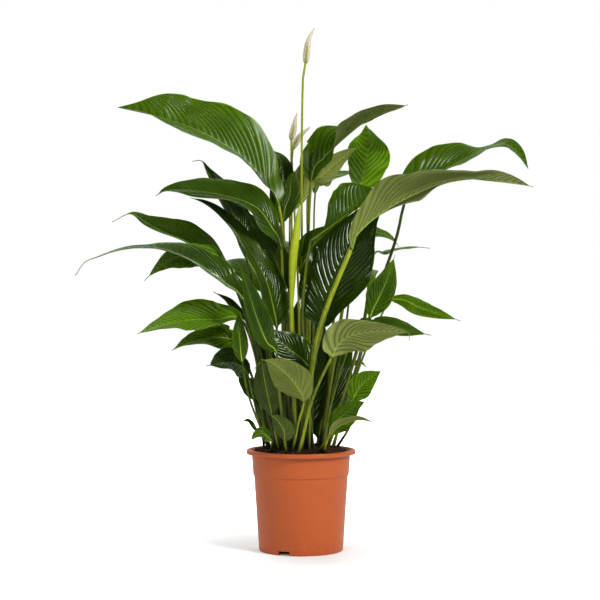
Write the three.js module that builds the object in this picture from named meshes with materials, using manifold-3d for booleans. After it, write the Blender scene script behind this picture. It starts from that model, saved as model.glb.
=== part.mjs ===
// A peace lily in its nursery pot. Millimetres, +Z up. The origin is on the pot's axis, at its flat
// underside, and the plant's front faces -Y.
//
// The pot is filled with compost, and every stem stands in a plain hole in it. Each leaf is one solid:
// a round stalk that flattens into a folded, waved blade. Each flower is a stalk with a furled spathe.
import * as THREE from 'three';
import { mergeVertices } from 'three/addons/utils/BufferGeometryUtils.js';
import Module from 'manifold-3d';

const wasm = await Module();
wasm.setup();

// ---- driving dimensions: pot
const POT_HEIGHT = 157;
const RIM_RADIUS = 85;
const LIP_HEIGHT = 7;
const BAND_TOP_RADIUS = 76.7;
const BAND_LOW_RADIUS = 74.8;
const STEP_HEIGHT = 118.6;
const STEP_RADIUS = 73.3;
const BASE_RADIUS = 65.5;
const MOUTH_RADIUS = 78.2;
const WALL = 2;
const FLOOR = 2.5;
const BASE_CORNER = 2;
const LEDGE_SLOPE = 1;
const LIP_CORNER = 0.8;
const TOP_CORNER = 1.6;
const POT_SIDES = 40;
const NOTCH_WIDTH = 18;
const NOTCH_HEIGHT = 6.5;
const NOTCH_DEPTH = 9;
const NOTCH_COUNT = 3;
const NOTCH_ANGLE = THREE.MathUtils.degToRad(-113.4);

// ---- driving dimensions: compost
const GAP = 0.35;
const SOIL_EDGE = 151.5;
const SOIL_MOUND = 4;
const SOIL_RINGS = 5;
const LUMP = { height: 0.65, across: 33, deep: 27 };
const RIDGE = { height: 0.4, across: 57, deep: 20 };
const COLLAR_HEIGHT = 158;
const ROOT_HEIGHT = 124;

// ---- driving dimensions: leaves
const BLADE_THICKNESS = 1;
const NECK_HALF_WIDTH = 1.2;
const TIP_HALF_WIDTH = 0.5;
const MARGIN_CURL = 8;
const WAVES = 2.3;
const WAVE_SHIFT = 0.37;
const WAVE_HEIGHT = 0.05;
const WAVE_PHASE = 1.7;
const RIB_SHARE = 0.6;

// ---- driving dimensions: flowers
const FLOWER_FOOT = 2;
const FLOWER_NECK = 1.5;
const FLOWER_SIDES = 8;
const FLOWER_STALK_STEPS = 9;
const SPATHE_STEPS = 7;
const SPATHE_SKEW = 0.6;
const SPATHE_TIP = 0.5;

// ---- fineness of the solids
const CURVE_DIVISIONS = 40;
const HOLE_SIDES = 6;
const MERGE_DISTANCE = 1e-4;

const TERRACOTTA = { color: 0xc45d2c, roughness: 0.45 };
const COMPOST = { color: 0x1f1611, roughness: 0.95 };
const LEAF_GREEN = { color: 0x2c5a17, roughness: 0.35 };
const STALK_GREEN = { color: 0x86a83a, roughness: 0.45 };
const CREAM = { color: 0xe6e6cc, roughness: 0.5 };

// Stalk radius at the compost and at the blade's neck, and the steps along the stalk and the blade.
const STOUT = { foot: 4.2, neck: 3.6, stalkSteps: 5, bladeSteps: 8 };
const LARGE = { foot: 3.2, neck: 2.2, stalkSteps: 5, bladeSteps: 8 };
const MEDIUM = { foot: 2.7, neck: 1.7, stalkSteps: 4, bladeSteps: 6 };
const SMALL = { foot: 2.1, neck: 1.3, stalkSteps: 4, bladeSteps: 5 };
const YOUNG = { foot: 4, neck: 3.4, stalkSteps: 4, bladeSteps: 7 };

// Leaf stations are sighted: [across, up, depth], where across and up are measured on the upright
// plane through the pot's axis, as seen by an eye in front of the plant, and depth is how far behind
// that plane the station really is. A change of depth leaves the front view as it was.
const EYE_DISTANCE = 2400;
const EYE_HEIGHT = 390;

// The side towards which a blade runs, as seen from the eye.
const LEFT = 1;
const RIGHT = -1;
const AWAY = 0;

// roll: how far the blade's face is turned from the eye, in degrees: 0 faces it, 90 faces up, 180 shows
// the underside. fold: how far each half is raised from flat. Lists run evenly from neck to tip.
// peak: where along the blade it is widest. tail: the part at the tip that stays thin.
// point: above 1 draws out both ends of the blade, and below 1 blunts them. rolled: still rolled up.
const LEAVES = [
  { name: 'leaf_top_left', side: LEFT, width: 128, make: LARGE,
    roll: [56, 56, 56, 55, 51, 50, 52, 44, 56, 59],
    fold: [42, 42, 42, 41, 38, 33, 30, 44, 42, 39], peak: 0.47, tail: 0,
    root: [-16, 6], stem: [[-22, 390, 10]],
    blade: [[-34, 535, 12], [-61, 577, 14], [-90, 611, 10], [-127, 637, 2], [-168, 658, -7],
      [-220, 676, -16], [-286, 691, -24]] },
  { name: 'leaf_top_left_behind', side: LEFT, width: 48, make: MEDIUM,
    roll: 30, fold: 15,
    root: [-8, 20], stem: [[-27, 390, 40]],
    blade: [[-31, 507, 55], [-29, 570, 62], [-32, 609, 76], [-50, 628, 105]] },
  { name: 'leaf_centre_small', side: RIGHT, width: 36, make: SMALL,
    roll: 25, fold: 15,
    root: [-2, 8], stem: [[-18, 390, 18]],
    blade: [[-27, 512, 22], [-17, 554, 24], [-14, 581, 28], [-5, 597, 34]] },
  { name: 'leaf_centre_light', side: RIGHT, width: 36, make: SMALL,
    roll: 150, fold: 15,
    root: [2, 20], stem: [[-14, 390, 27]],
    blade: [[-17, 523, 34], [-2, 562, 42], [8, 601, 47], [22, 625, 51]] },
  { name: 'leaf_left_second', side: LEFT, width: 90, make: LARGE,
    roll: [57, 54, 61, 64, 60, 55], fold: [6, 12, 20, 22, 15, 25], peak: 0.48, tail: 0.02,
    root: [-20, -25], stem: [[-28, 343, -24]],
    blade: [[-31, 467, -26], [-46, 504, -30], [-72, 536, -42], [-119, 553, -56], [-168, 561, -70],
      [-208, 562, -79], [-227, 553, -84]] },
  { name: 'leaf_left_second_behind', side: LEFT, width: 55, make: MEDIUM,
    roll: 50, fold: 30,
    root: [-25, 15], stem: [[-60, 343, 20]],
    blade: [[-84, 450, 35], [-98, 507, 40], [-123, 554, 45], [-145, 590, 50], [-155, 607, 52],
      [-170, 607, 50]] },
  { name: 'leaf_centre_rising', side: LEFT, width: 60, make: MEDIUM,
    roll: [15, 42, 62, 62, 53, 44], fold: [15, 28, 22, 20, 27, 30], peak: 0.3, tail: 0.02,
    root: [-12, -38], stem: [[-33, 250, -42]],
    blade: [[-38, 346, -47], [-42, 372, -49], [-53, 415, -53], [-69, 448, -55], [-84, 473, -55],
      [-103, 501, -54], [-127, 526, -52], [-150, 542, -48], [-173, 550, -46]] },
  { name: 'leaf_left_third', side: LEFT, width: 72, make: LARGE,
    roll: [82, 77, 67, 55, 60, 62], fold: [14, 18, 28, 38, 20, 16], peak: 0.5, tail: 0.1,
    root: [-30, 5], stem: [[-61, 296, 0]],
    blade: [[-94, 390, 5], [-115, 429, 5], [-140, 458, 3], [-175, 480, -2], [-212, 496, -6],
      [-240, 511, -10], [-266, 525, -12], [-295, 512, -15]] },
  { name: 'leaf_left_fourth', side: LEFT, width: 68, make: LARGE,
    roll: [45, 48, 68, 72, 82, 84, 82, 84],
    fold: [48, 46, 28, 24, 12, 9, 10, 12], peak: 0.38, tail: 0.04,
    root: [-28, -35], stem: [[-61, 281, -55]],
    blade: [[-89, 386, -70], [-119, 417, -80], [-165, 449, -93], [-212, 468, -104], [-248, 473, -113],
      [-283, 469, -119], [-316, 458, -123], [-338, 449, -125], [-353, 428, -128]] },
  { name: 'leaf_left_fourth_below', side: LEFT, width: 54, make: MEDIUM,
    roll: 45, fold: 5,
    root: [-40, -10], stem: [[-80, 343, -16]],
    blade: [[-123, 450, -44], [-158, 461, -58], [-197, 456, -68], [-223, 441, -73], [-245, 420, -76]] },
  { name: 'leaf_left_fifth', side: LEFT, width: 76, make: LARGE,
    roll: [40, 42, 53, 58, 66, 70], fold: [44, 42, 28, 14, 14, 10], peak: 0.48, tail: 0.02,
    root: [-38, -28], stem: [[-61, 265, -40]],
    blade: [[-91, 356, -55], [-134, 359, -66], [-181, 358, -77], [-220, 351, -88], [-256, 337, -95]] },
  { name: 'leaf_left_sixth', side: LEFT, width: 54, make: MEDIUM,
    roll: [30, 35, 50, 58, 66, 70], fold: [24, 20, 14, 20, 22, 22], tail: 0.02,
    root: [-49, -6], stem: [[-67, 242, -20]],
    blade: [[-98, 320, -32], [-114, 329, -37], [-134, 332, -44], [-155, 329, -49], [-180, 322, -55],
      [-202, 311, -58]] },
  { name: 'leaf_left_small_upright', side: LEFT, width: 22, make: SMALL,
    roll: 10, fold: 10, tail: 0.02,
    root: [-48, -25], stem: [[-80, 234, -80]],
    blade: [[-92, 293, -105], [-95, 320, -108], [-97, 343, -108], [-98, 370, -105]] },
  { name: 'leaf_left_small_dark', side: LEFT, width: 20, make: SMALL,
    roll: 60, fold: 20,
    root: [-42, 8], stem: [[-67, 281, 8]],
    blade: [[-86, 356, 4], [-101, 375, 0], [-119, 392, -4], [-137, 403, -8]] },
  { name: 'leaf_left_dark_glossy', side: LEFT, width: 58, make: MEDIUM,
    roll: 50, fold: 14, peak: 0.5,
    root: [-50, -15], stem: [[-65, 200, -40]],
    blade: [[-83, 271, -70], [-95, 287, -80], [-114, 293, -90], [-133, 290, -100], [-148, 287, -108]] },
  { name: 'leaf_left_low_green', side: LEFT, width: 24, make: SMALL,
    roll: 30, fold: 15,
    root: [-51, 12], stem: [[-61, 203, 0]],
    blade: [[-72, 234, -5], [-81, 253, -8], [-91, 268, -10], [-95, 287, -10]] },
  { name: 'leaf_front_left_shade', side: LEFT, width: 44, make: MEDIUM,
    roll: [160, 150], fold: 15,
    root: [-33, -50], stem: [[-41, 187, -62]],
    blade: [[-45, 211, -67], [-52, 242, -71], [-58, 273, -76], [-62, 293, -82], [-72, 283, -90]] },
  { name: 'leaf_front_olive', side: LEFT, width: 56, make: MEDIUM,
    roll: [165, 155], fold: 15,
    root: [-13, -56], stem: [[-5, 195, -75]],
    blade: [[4, 231, -90], [-5, 252, -103], [-19, 270, -117], [-37, 286, -131], [-52, 295, -142],
      [-64, 297, -150]] },
  { name: 'leaf_front_dark', side: LEFT, width: 58, make: MEDIUM,
    roll: 25, fold: 12,
    root: [12, -45], stem: [[13, 234, -50]],
    blade: [[17, 276, -64], [3, 296, -68], [-17, 312, -71], [-38, 331, -73], [-58, 351, -72]] },
  { name: 'leaf_left_centre_long', side: LEFT, width: 38, make: MEDIUM,
    roll: 28, fold: 28,
    root: [-23, -54], stem: [[-33, 234, -86]],
    blade: [[-38, 305, -98], [-54, 325, -103], [-71, 367, -108], [-83, 406, -113], [-92, 432, -116],
      [-100, 449, -118]] },
  { name: 'leaf_behind_second', side: LEFT, width: 38, make: MEDIUM,
    roll: 140, fold: 15,
    root: [-15, 30], stem: [[-45, 343, 10]],
    blade: [[-61, 450, 10], [-67, 484, 12], [-77, 512, 15], [-91, 534, 20]] },
  { name: 'leaf_striped_behind', side: LEFT, width: 46, make: MEDIUM,
    roll: 20, fold: 15,
    root: [-6, -8], stem: [[-25, 312, -8]],
    blade: [[-22, 390, -10], [-31, 429, -12], [-48, 468, -14], [-72, 496, -16], [-91, 513, -18]] },
  { name: 'leaf_low_left_tip', side: LEFT, width: 24, make: SMALL,
    roll: 50, fold: 10, tail: 0.02,
    root: [-45, -48], stem: [[-46, 165, -62]],
    blade: [[-47, 171, -75], [-58, 181, -85], [-69, 179, -95], [-78, 171, -102]] },
  { name: 'leaf_low_left_thin', side: LEFT, width: 12, make: SMALL,
    roll: 60, fold: 10,
    root: [-58, 3], stem: [[-60, 175, -10]],
    blade: [[-69, 187, -20], [-77, 196, -30], [-83, 201, -38], [-92, 201, -48]] },
  { name: 'leaf_front_small_olive', side: LEFT, width: 31, make: SMALL,
    roll: 160, fold: 15,
    root: [-22, -64], stem: [[-24, 162, -72]],
    blade: [[-25, 170, -82], [-27, 187, -93], [-38, 203, -100], [-51, 213, -106]] },
  { name: 'leaf_young', side: RIGHT, width: 13, make: YOUNG,
    roll: 0, fold: 0, peak: 0.55, tail: 0, rolled: true,
    root: [-8, -24], stem: [[-13, 280, -46]],
    blade: [[-15, 380, -56], [-14, 421, -58], [-12, 461, -58], [-7, 500, -57], [-2, 541, -55]] },
  { name: 'leaf_top_right', side: RIGHT, width: 95, make: LARGE,
    roll: [31, 36, 58, 94, 104, 110, 120], fold: [36, 38, 34, 24, 21, 26, 34], tail: 0.02,
    root: [8, 12], stem: [[9, 390, 20]],
    blade: [[16, 573, 30], [38, 614, 31], [73, 648, 22], [111, 675, 9], [167, 695, -8]] },
  { name: 'leaf_top_right_light', side: RIGHT, width: 55, make: MEDIUM,
    roll: 125, fold: 15,
    root: [12, 25], stem: [[13, 390, 50]],
    blade: [[11, 559, 69], [33, 584, 75], [56, 604, 79], [77, 621, 82], [95, 632, 85]] },
  { name: 'leaf_top_right_grey', side: RIGHT, width: 34, make: SMALL,
    roll: 60, fold: 15,
    root: [17, 36], stem: [[20, 390, 85]],
    blade: [[22, 554, 112], [38, 573, 128], [61, 586, 148], [100, 593, 174]] },
  { name: 'leaf_back_broad', side: RIGHT, width: 86, make: LARGE,
    roll: [38, 38, 43, 48, 43, 35, 36, 48, 48],
    fold: [-8, -8, -8, -2, -4, 6, 35, 48, 48], peak: 0.5, tail: 0,
    root: [30, 30], stem: [[67, 390, 58]],
    blade: [[89, 548, 94], [96, 577, 102], [102, 606, 111], [105, 627, 118], [106, 647, 124],
      [102, 664, 132]] },
  { name: 'leaf_right_mid', side: RIGHT, width: 92, make: LARGE,
    roll: [60, 57, 50, 50, 48, 46], fold: [38, 38, 44, 44, 44, 44], peak: 0.6, tail: 0, point: 1.1,
    root: [18, -15], stem: [[2, 343, -46], [13, 472, -62]],
    blade: [[27, 490, -63], [46, 504, -65], [65, 518, -64], [84, 532, -61], [103, 547, -55],
      [123, 562, -46]] },
  { name: 'leaf_right_long', side: RIGHT, width: 100, make: STOUT,
    roll: [124, 130, 128, 112, 101, 94, 104, 118],
    fold: [38, 46, 42, 20, 20, 14, 22, 34], peak: 0.5, tail: 0.02,
    root: [-2, -46], stem: [[27, 335, -95]],
    blade: [[77, 468, -120], [89, 496, -125], [131, 531, -130], [178, 557, -136], [217, 572, -140],
      [272, 580, -142], [319, 576, -142], [363, 567, -140]] },
  { name: 'leaf_right_upper', side: RIGHT, width: 98, make: LARGE,
    roll: [47, 47, 49, 52, 57, 64, 71, 83, 77, 58, 54, 58],
    fold: [51, 51, 49, 45, 38, 29, 21, 11, 7, 18, 24, 19], peak: 0.4, tail: 0,
    root: [35, 5], stem: [[77, 250, 25], [111, 375, 35], [148, 484, 40]],
    blade: [[161, 539, 40], [178, 562, 40], [202, 581, 40], [241, 603, 40], [272, 618, 40],
      [295, 628, 40], [316, 634, 40], [331, 628, 42], [344, 614, 44], [355, 595, 46]] },
  { name: 'leaf_right_grey_back', side: RIGHT, width: 26, make: SMALL,
    roll: 50, fold: 10,
    root: [30, 45], stem: [[69, 343, 76]],
    blade: [[84, 484, 98], [108, 496, 106], [131, 493, 113], [145, 484, 117], [153, 473, 120]] },
  { name: 'leaf_right_thin', side: RIGHT, width: 40, make: MEDIUM,
    roll: [82, 84], fold: 5,
    root: [42, 20], stem: [[95, 343, 45]],
    blade: [[111, 454, 60], [131, 465, 65], [155, 471, 70], [178, 473, 74], [202, 471, 78]] },
  { name: 'leaf_right_upright', side: RIGHT, width: 38, make: MEDIUM,
    roll: 0, fold: 15,
    root: [40, -25], stem: [[80, 265, -45]],
    blade: [[108, 362, -62], [120, 390, -68], [133, 418, -74], [141, 442, -80], [147, 462, -86]] },
  { name: 'leaf_right_narrow', side: RIGHT, width: 13, make: SMALL,
    roll: 0, fold: 20,
    root: [36, -8], stem: [[84, 296, -20]],
    blade: [[105, 382, -30], [109, 400, -32], [114, 415, -34], [114, 434, -36]] },
  { name: 'leaf_right_low_tip', side: RIGHT, width: 28, make: SMALL,
    roll: 35, fold: 5,
    root: [48, -5], stem: [[95, 296, -10], [128, 371, -18]],
    blade: [[139, 389, -20], [160, 390, -22], [186, 378, -26], [217, 368, -30], [250, 357, -34]] },
  { name: 'leaf_right_low_dark', side: RIGHT, width: 36, make: SMALL,
    roll: 45, fold: 10, peak: 0.5,
    root: [32, -38], stem: [[53, 250, -60]],
    blade: [[89, 350, -85], [111, 351, -95], [139, 350, -105], [167, 342, -115], [203, 335, -125]] },
  { name: 'leaf_front_right_light', side: RIGHT, width: 76, make: LARGE,
    roll: [142, 128], fold: 4, peak: 0.32, point: 1.2,
    root: [-3, -61], stem: [[17, 234, -80]],
    blade: [[47, 300, -100], [56, 319, -105], [73, 333, -112], [100, 340, -122], [136, 342, -134],
      [167, 339, -145], [169, 327, -150]] },
  { name: 'leaf_right_centre_big', side: RIGHT, width: 119, make: LARGE,
    roll: [47, 36, 27, 29, 40, 42], fold: [44, 33, 25, 26, 34, 36], peak: 0.36, tail: 0.02, point: 0.8,
    root: [10, -30], stem: [[6, 234, -38]],
    blade: [[33, 343, -50], [44, 380, -50], [56, 414, -48], [72, 453, -44], [92, 492, -38],
      [130, 549, -26]] },
  { name: 'leaf_low_right_bright', side: RIGHT, width: 36, make: SMALL,
    roll: 15, fold: 10, tail: 0.02,
    root: [56, 12], stem: [[77, 195, -20]],
    blade: [[81, 231, -55], [87, 246, -60], [100, 262, -66], [125, 279, -76]] },
  { name: 'leaf_low_right_broad', side: RIGHT, width: 44, make: MEDIUM,
    roll: 38, fold: -8, tail: 0.02,
    root: [28, -52], stem: [[38, 168, -64]],
    blade: [[45, 181, -72], [55, 200, -80], [72, 215, -90], [86, 225, -98], [100, 231, -106]] },
  { name: 'leaf_low_right_folded', side: RIGHT, width: 24, make: SMALL,
    roll: 120, fold: 30,
    root: [34, -60], stem: [[40, 167, -82]],
    blade: [[45, 178, -96], [58, 192, -108], [77, 200, -117], [95, 203, -125], [117, 198, -132]] },
  { name: 'leaf_right_tiny_back', side: RIGHT, width: 11, make: SMALL,
    roll: 60, fold: 5,
    root: [52, 30], stem: [[69, 234, 40]],
    blade: [[77, 284, 44], [86, 292, 46], [94, 293, 48], [102, 285, 50]] },
  { name: 'leaf_back_centre', side: AWAY, width: 85, make: LARGE,
    roll: 45, fold: 15,
    root: [5, 53], stem: [[10, 300, 72]],
    blade: [[10, 420, 112], [10, 460, 150], [12, 475, 210], [12, 465, 270], [15, 440, 330]] },
  { name: 'leaf_back_left', side: AWAY, width: 75, make: LARGE,
    roll: 45, fold: 15,
    root: [-35, 40], stem: [[-45, 280, 70]],
    blade: [[-60, 400, 110], [-75, 440, 150], [-88, 455, 200], [-94, 445, 250], [-95, 425, 300]] },
  { name: 'leaf_back_right', side: AWAY, width: 75, make: LARGE,
    roll: 45, fold: 15,
    root: [38, 53], stem: [[45, 280, 80]],
    blade: [[55, 390, 120], [72, 425, 160], [88, 440, 210], [100, 430, 260], [108, 400, 310]] },
  { name: 'leaf_back_low_left', side: AWAY, width: 72, make: LARGE,
    roll: [8, 20, 45, 45], fold: 15, peak: 0.27,
    root: [-25, 55], stem: [[-26, 165, 59]],
    blade: [[-28, 173, 65], [-30, 186, 78], [-34, 215, 98], [-39, 260, 122], [-46, 305, 146],
      [-52, 335, 180], [-57, 340, 217], [-60, 322, 250]] },
  { name: 'leaf_back_low_right', side: AWAY, width: 76, make: LARGE,
    roll: [8, 20, 45, 45], fold: 15, peak: 0.27,
    root: [25, 60], stem: [[26, 165, 63]],
    blade: [[27, 173, 68], [30, 186, 80], [36, 212, 100], [45, 255, 124], [56, 298, 150],
      [68, 326, 184], [79, 328, 218], [88, 308, 250]] },
  { name: 'leaf_back_low', side: AWAY, width: 84, make: LARGE,
    roll: [8, 8, 20, 45], fold: 12, peak: 0.36,
    root: [2, 64], stem: [[3, 165, 67]],
    blade: [[3, 173, 70], [4, 190, 76], [5, 225, 84], [7, 280, 92], [8, 335, 104], [9, 378, 126],
      [10, 398, 165], [12, 394, 205]] },
  { name: 'leaf_centre_low', side: RIGHT, width: 44, make: MEDIUM,
    roll: 32, fold: 14, peak: 0.45, tail: 0.02,
    root: [14, 4], stem: [[4, 300, -8]],
    blade: [[0, 438, -20], [8, 461, -21], [22, 480, -22], [40, 496, -22], [58, 508, -20]] },
];

// Flower stations are sighted as the leaves' are. The stalk ends where the spathe begins.
const FLOWERS = [
  { name: 'flower_tall', root: [6, 2], stem: [[2, 390, 0], [1, 600, 0], [3, 735, 0]],
    spathe: [[7, 760, 0], [9, 778, 0], [12, 797, 2], [21, 815, 5]], width: 11 },
  { name: 'flower_left', root: [-12, 42], stem: [[-14, 390, 75], [-15, 600, 92]],
    spathe: [[-15, 640, 94], [-12, 655, 94], [-9, 671, 94], [-6, 683, 94]], width: 11 },
  { name: 'flower_middle', root: [-1, 40], stem: [[-4, 400, 80], [-14, 600, 107]],
    spathe: [[-13, 625, 112], [-8, 636, 112], [0, 648, 112], [15, 661, 110]], width: 11 },
];

const UP = new THREE.Vector3(0, 0, 1);
const TOWARD_EYE = new THREE.Vector3(0, -1, 0);

// The corners of a leaf's cross-section: over the upper face from one edge to the other, then back
// under it. Each number is the share of the half width.
const CORNERS = [-1, -0.5, 0, 0.5, 1, 1, 0.5, 0, -0.5, -1];

// ---- numbers along a line

function sight([across, up, depth]) {
  const scale = 1 + depth / EYE_DISTANCE;
  return new THREE.Vector3(across * scale, depth, EYE_HEIGHT + (up - EYE_HEIGHT) * scale);
}

function along(list, share) {
  if (typeof list === 'number') return list;
  const place = share * (list.length - 1);
  const low = Math.min(Math.floor(place), list.length - 2);
  return THREE.MathUtils.lerp(list[low], list[low + 1], place - low);
}

// A smooth curve from the compost through every station, and the share of its length at the neck.
function growthLine(root, stem, top) {
  const start = new THREE.Vector3(root[0], root[1], COLLAR_HEIGHT);
  const stations = [start, ...stem.map(sight), ...top.map(sight)];
  const curve = new THREE.CatmullRomCurve3(stations, false, 'catmullrom');
  curve.arcLengthDivisions = CURVE_DIVISIONS * (stations.length - 1);
  const lengths = curve.getLengths();
  const neck = lengths[CURVE_DIVISIONS * (stem.length + 1)] / curve.getLength();
  return { curve, neck };
}

// ---- solids

function geometryFrom(positions, triangles) {
  const geometry = new THREE.BufferGeometry();
  geometry.setAttribute('position', new THREE.Float32BufferAttribute(positions, 3));
  geometry.setIndex(triangles);
  return geometry;
}

// One closed skin over rings of corners. The lower half of each ring is split along the same
// diagonals as the upper half, so a thin waved blade never crosses itself.
function loft(rings, mirrored = false) {
  const sides = rings[0].length;
  const triangles = [];
  const quad = (a, b, c, d) => triangles.push(a, b, c, a, c, d);
  for (let ring = 0; ring + 1 < rings.length; ring += 1) {
    for (let corner = 0; corner < sides; corner += 1) {
      const a = ring * sides + corner;
      const b = ring * sides + ((corner + 1) % sides);
      if (corner < sides / 2) quad(a, b, b + sides, a + sides);
      else quad(b, b + sides, a + sides, a);
    }
  }
  const last = (rings.length - 1) * sides;
  for (let corner = 0; corner + 1 < sides / 2; corner += 1) {
    const across = sides - 1 - corner;
    quad(corner, across, across - 1, corner + 1);
    quad(last + corner, last + corner + 1, last + across - 1, last + across);
  }
  if (mirrored) triangles.reverse();
  return geometryFrom(rings.flat().flatMap((point) => point.toArray()), triangles);
}

function solidFrom(geometry) {
  const bare = geometry.clone();
  bare.deleteAttribute('normal');
  bare.deleteAttribute('uv');
  const merged = mergeVertices(bare, MERGE_DISTANCE);
  const vertProperties = new Float32Array(merged.attributes.position.array);
  const triVerts = new Uint32Array(merged.index.array);
  return new wasm.Manifold(new wasm.Mesh({ numProp: 3, vertProperties, triVerts }));
}

function geometryOf(solid) {
  const { vertProperties, triVerts } = solid.getMesh();
  return geometryFrom(Array.from(vertProperties), Array.from(triVerts));
}

function named(name, geometry, { color, roughness }) {
  const material = new THREE.MeshStandardMaterial({ color, roughness, metalness: 0 });
  const mesh = new THREE.Mesh(geometry, material);
  mesh.name = name;
  return mesh;
}

// ---- leaves

// Directions across a leaf: towards the edge that is uppermost as seen, and out of its upper face.
function directions(tangent, side, rollDegrees) {
  const roll = THREE.MathUtils.degToRad(rollDegrees);
  const across = side === AWAY ? UP.clone() : new THREE.Vector3(side * tangent.z, 0, -side * tangent.x);
  const facing = TOWARD_EYE.clone().multiplyScalar(Math.cos(roll));
  facing.addScaledVector(across.normalize(), Math.sin(roll));
  const edge = tangent.clone().cross(facing).normalize();
  const face = edge.clone().cross(tangent);
  return { edge: edge.multiplyScalar(side === RIGHT ? -1 : 1), face };
}

function stalkRing(centre, { edge, face }, radius) {
  return CORNERS.map((_, corner) => {
    const turn = Math.PI * (1 - (corner + 0.5) / (CORNERS.length / 2));
    const point = centre.clone().addScaledVector(edge, radius * Math.cos(turn));
    return point.addScaledVector(face, radius * Math.sin(turn));
  });
}

// Half the blade's width as a share of the widest: a sine stretched so that it peaks where stated.
function outline({ peak = 0.42, tail = 0.08, point = 1 }, share) {
  const reach = Math.min(share / (1 - tail), 1);
  return Math.sin(Math.PI * reach ** (Math.log(0.5) / Math.log(peak))) ** point;
}

function bladeRing(centre, { edge, face }, leaf, share) {
  const spare = NECK_HALF_WIDTH * (1 - share) + TIP_HALF_WIDTH;
  const wide = (leaf.width / 2) * outline(leaf, share) + spare;
  const rib = leaf.make.neck * (1 - share) * RIB_SHARE;
  return CORNERS.map((reach, corner) => {
    const upper = corner < CORNERS.length / 2;
    const shift = WAVES * share + (reach > 0 ? WAVE_SHIFT : 0);
    const wave = WAVE_HEIGHT * reach ** 2 * Math.sin(2 * Math.PI * shift + leaf.phase);
    const fold = THREE.MathUtils.degToRad(along(leaf.fold, share) - MARGIN_CURL * Math.abs(reach));
    const skin = upper ? BLADE_THICKNESS / 2 : -BLADE_THICKNESS / 2 - (reach === 0 ? rib : 0);
    const point = centre.clone().addScaledVector(edge, wide * reach * Math.cos(fold));
    return point.addScaledVector(face, wide * (Math.abs(reach) * Math.sin(fold) + wave) + skin);
  });
}

// A leaf that is still rolled up swells like a bud.
function rolledRing(centre, axes, leaf, share) {
  const core = THREE.MathUtils.lerp(leaf.make.neck, TIP_HALF_WIDTH, share);
  return stalkRing(centre, axes, core + Math.max(leaf.width / 2 - core, 0) * outline(leaf, share));
}

function leafGeometry(leaf) {
  const { foot, neck: neckRadius, stalkSteps, bladeSteps } = leaf.make;
  const { curve, neck } = growthLine(leaf.root, leaf.stem, leaf.blade);
  const neckRoll = along(leaf.roll, 0);
  const bottom = new THREE.Vector3(leaf.root[0], leaf.root[1], ROOT_HEIGHT);
  const rings = [stalkRing(bottom, directions(UP, leaf.side, neckRoll), foot)];
  for (let step = 0; step <= stalkSteps; step += 1) {
    const share = step / stalkSteps;
    const place = share * neck;
    const axes = directions(curve.getTangentAt(place), leaf.side, neckRoll);
    rings.push(stalkRing(curve.getPointAt(place), axes, THREE.MathUtils.lerp(foot, neckRadius, share)));
  }
  const topRing = leaf.rolled ? rolledRing : bladeRing;
  for (let step = 1; step <= bladeSteps; step += 1) {
    const share = step / bladeSteps;
    const place = THREE.MathUtils.lerp(neck, 1, share);
    const axes = directions(curve.getTangentAt(place), leaf.side, along(leaf.roll, share));
    rings.push(topRing(curve.getPointAt(place), axes, leaf, share));
  }
  return loft(rings, leaf.side === RIGHT);
}

// ---- flowers

function roundRing(centre, tangent, radius) {
  const { edge, face } = directions(tangent, RIGHT, 0);
  return Array.from({ length: FLOWER_SIDES }, (_, corner) => {
    const turn = (2 * Math.PI * (corner + 0.5)) / FLOWER_SIDES;
    const point = centre.clone().addScaledVector(edge, radius * Math.cos(turn));
    return point.addScaledVector(face, radius * Math.sin(turn));
  });
}

function flowerStalkGeometry(flower) {
  const { curve, neck } = growthLine(flower.root, flower.stem, flower.spathe);
  const top = neck - GAP / curve.getLength();
  const bottom = new THREE.Vector3(flower.root[0], flower.root[1], ROOT_HEIGHT);
  const rings = [roundRing(bottom, UP, FLOWER_FOOT)];
  for (let step = 0; step <= FLOWER_STALK_STEPS; step += 1) {
    const share = step / FLOWER_STALK_STEPS;
    const radius = THREE.MathUtils.lerp(FLOWER_FOOT, FLOWER_NECK, share);
    rings.push(roundRing(curve.getPointAt(share * top), curve.getTangentAt(share * top), radius));
  }
  return loft(rings);
}

// A spathe still rolled round itself: a long bud that swells early and ends in a drawn-out point.
function spatheGeometry(flower) {
  const { curve, neck } = growthLine(flower.root, flower.stem, flower.spathe);
  const rings = [];
  for (let step = 0; step <= SPATHE_STEPS; step += 1) {
    const share = step / SPATHE_STEPS;
    const place = THREE.MathUtils.lerp(neck, 1, share);
    const swell = Math.sin(Math.PI * share ** SPATHE_SKEW);
    const core = THREE.MathUtils.lerp(FLOWER_NECK, SPATHE_TIP, share);
    const radius = core + Math.max(flower.width / 2 - FLOWER_NECK, 0) * swell;
    rings.push(roundRing(curve.getPointAt(place), curve.getTangentAt(place), radius));
  }
  return loft(rings);
}

// ---- pot and compost

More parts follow.
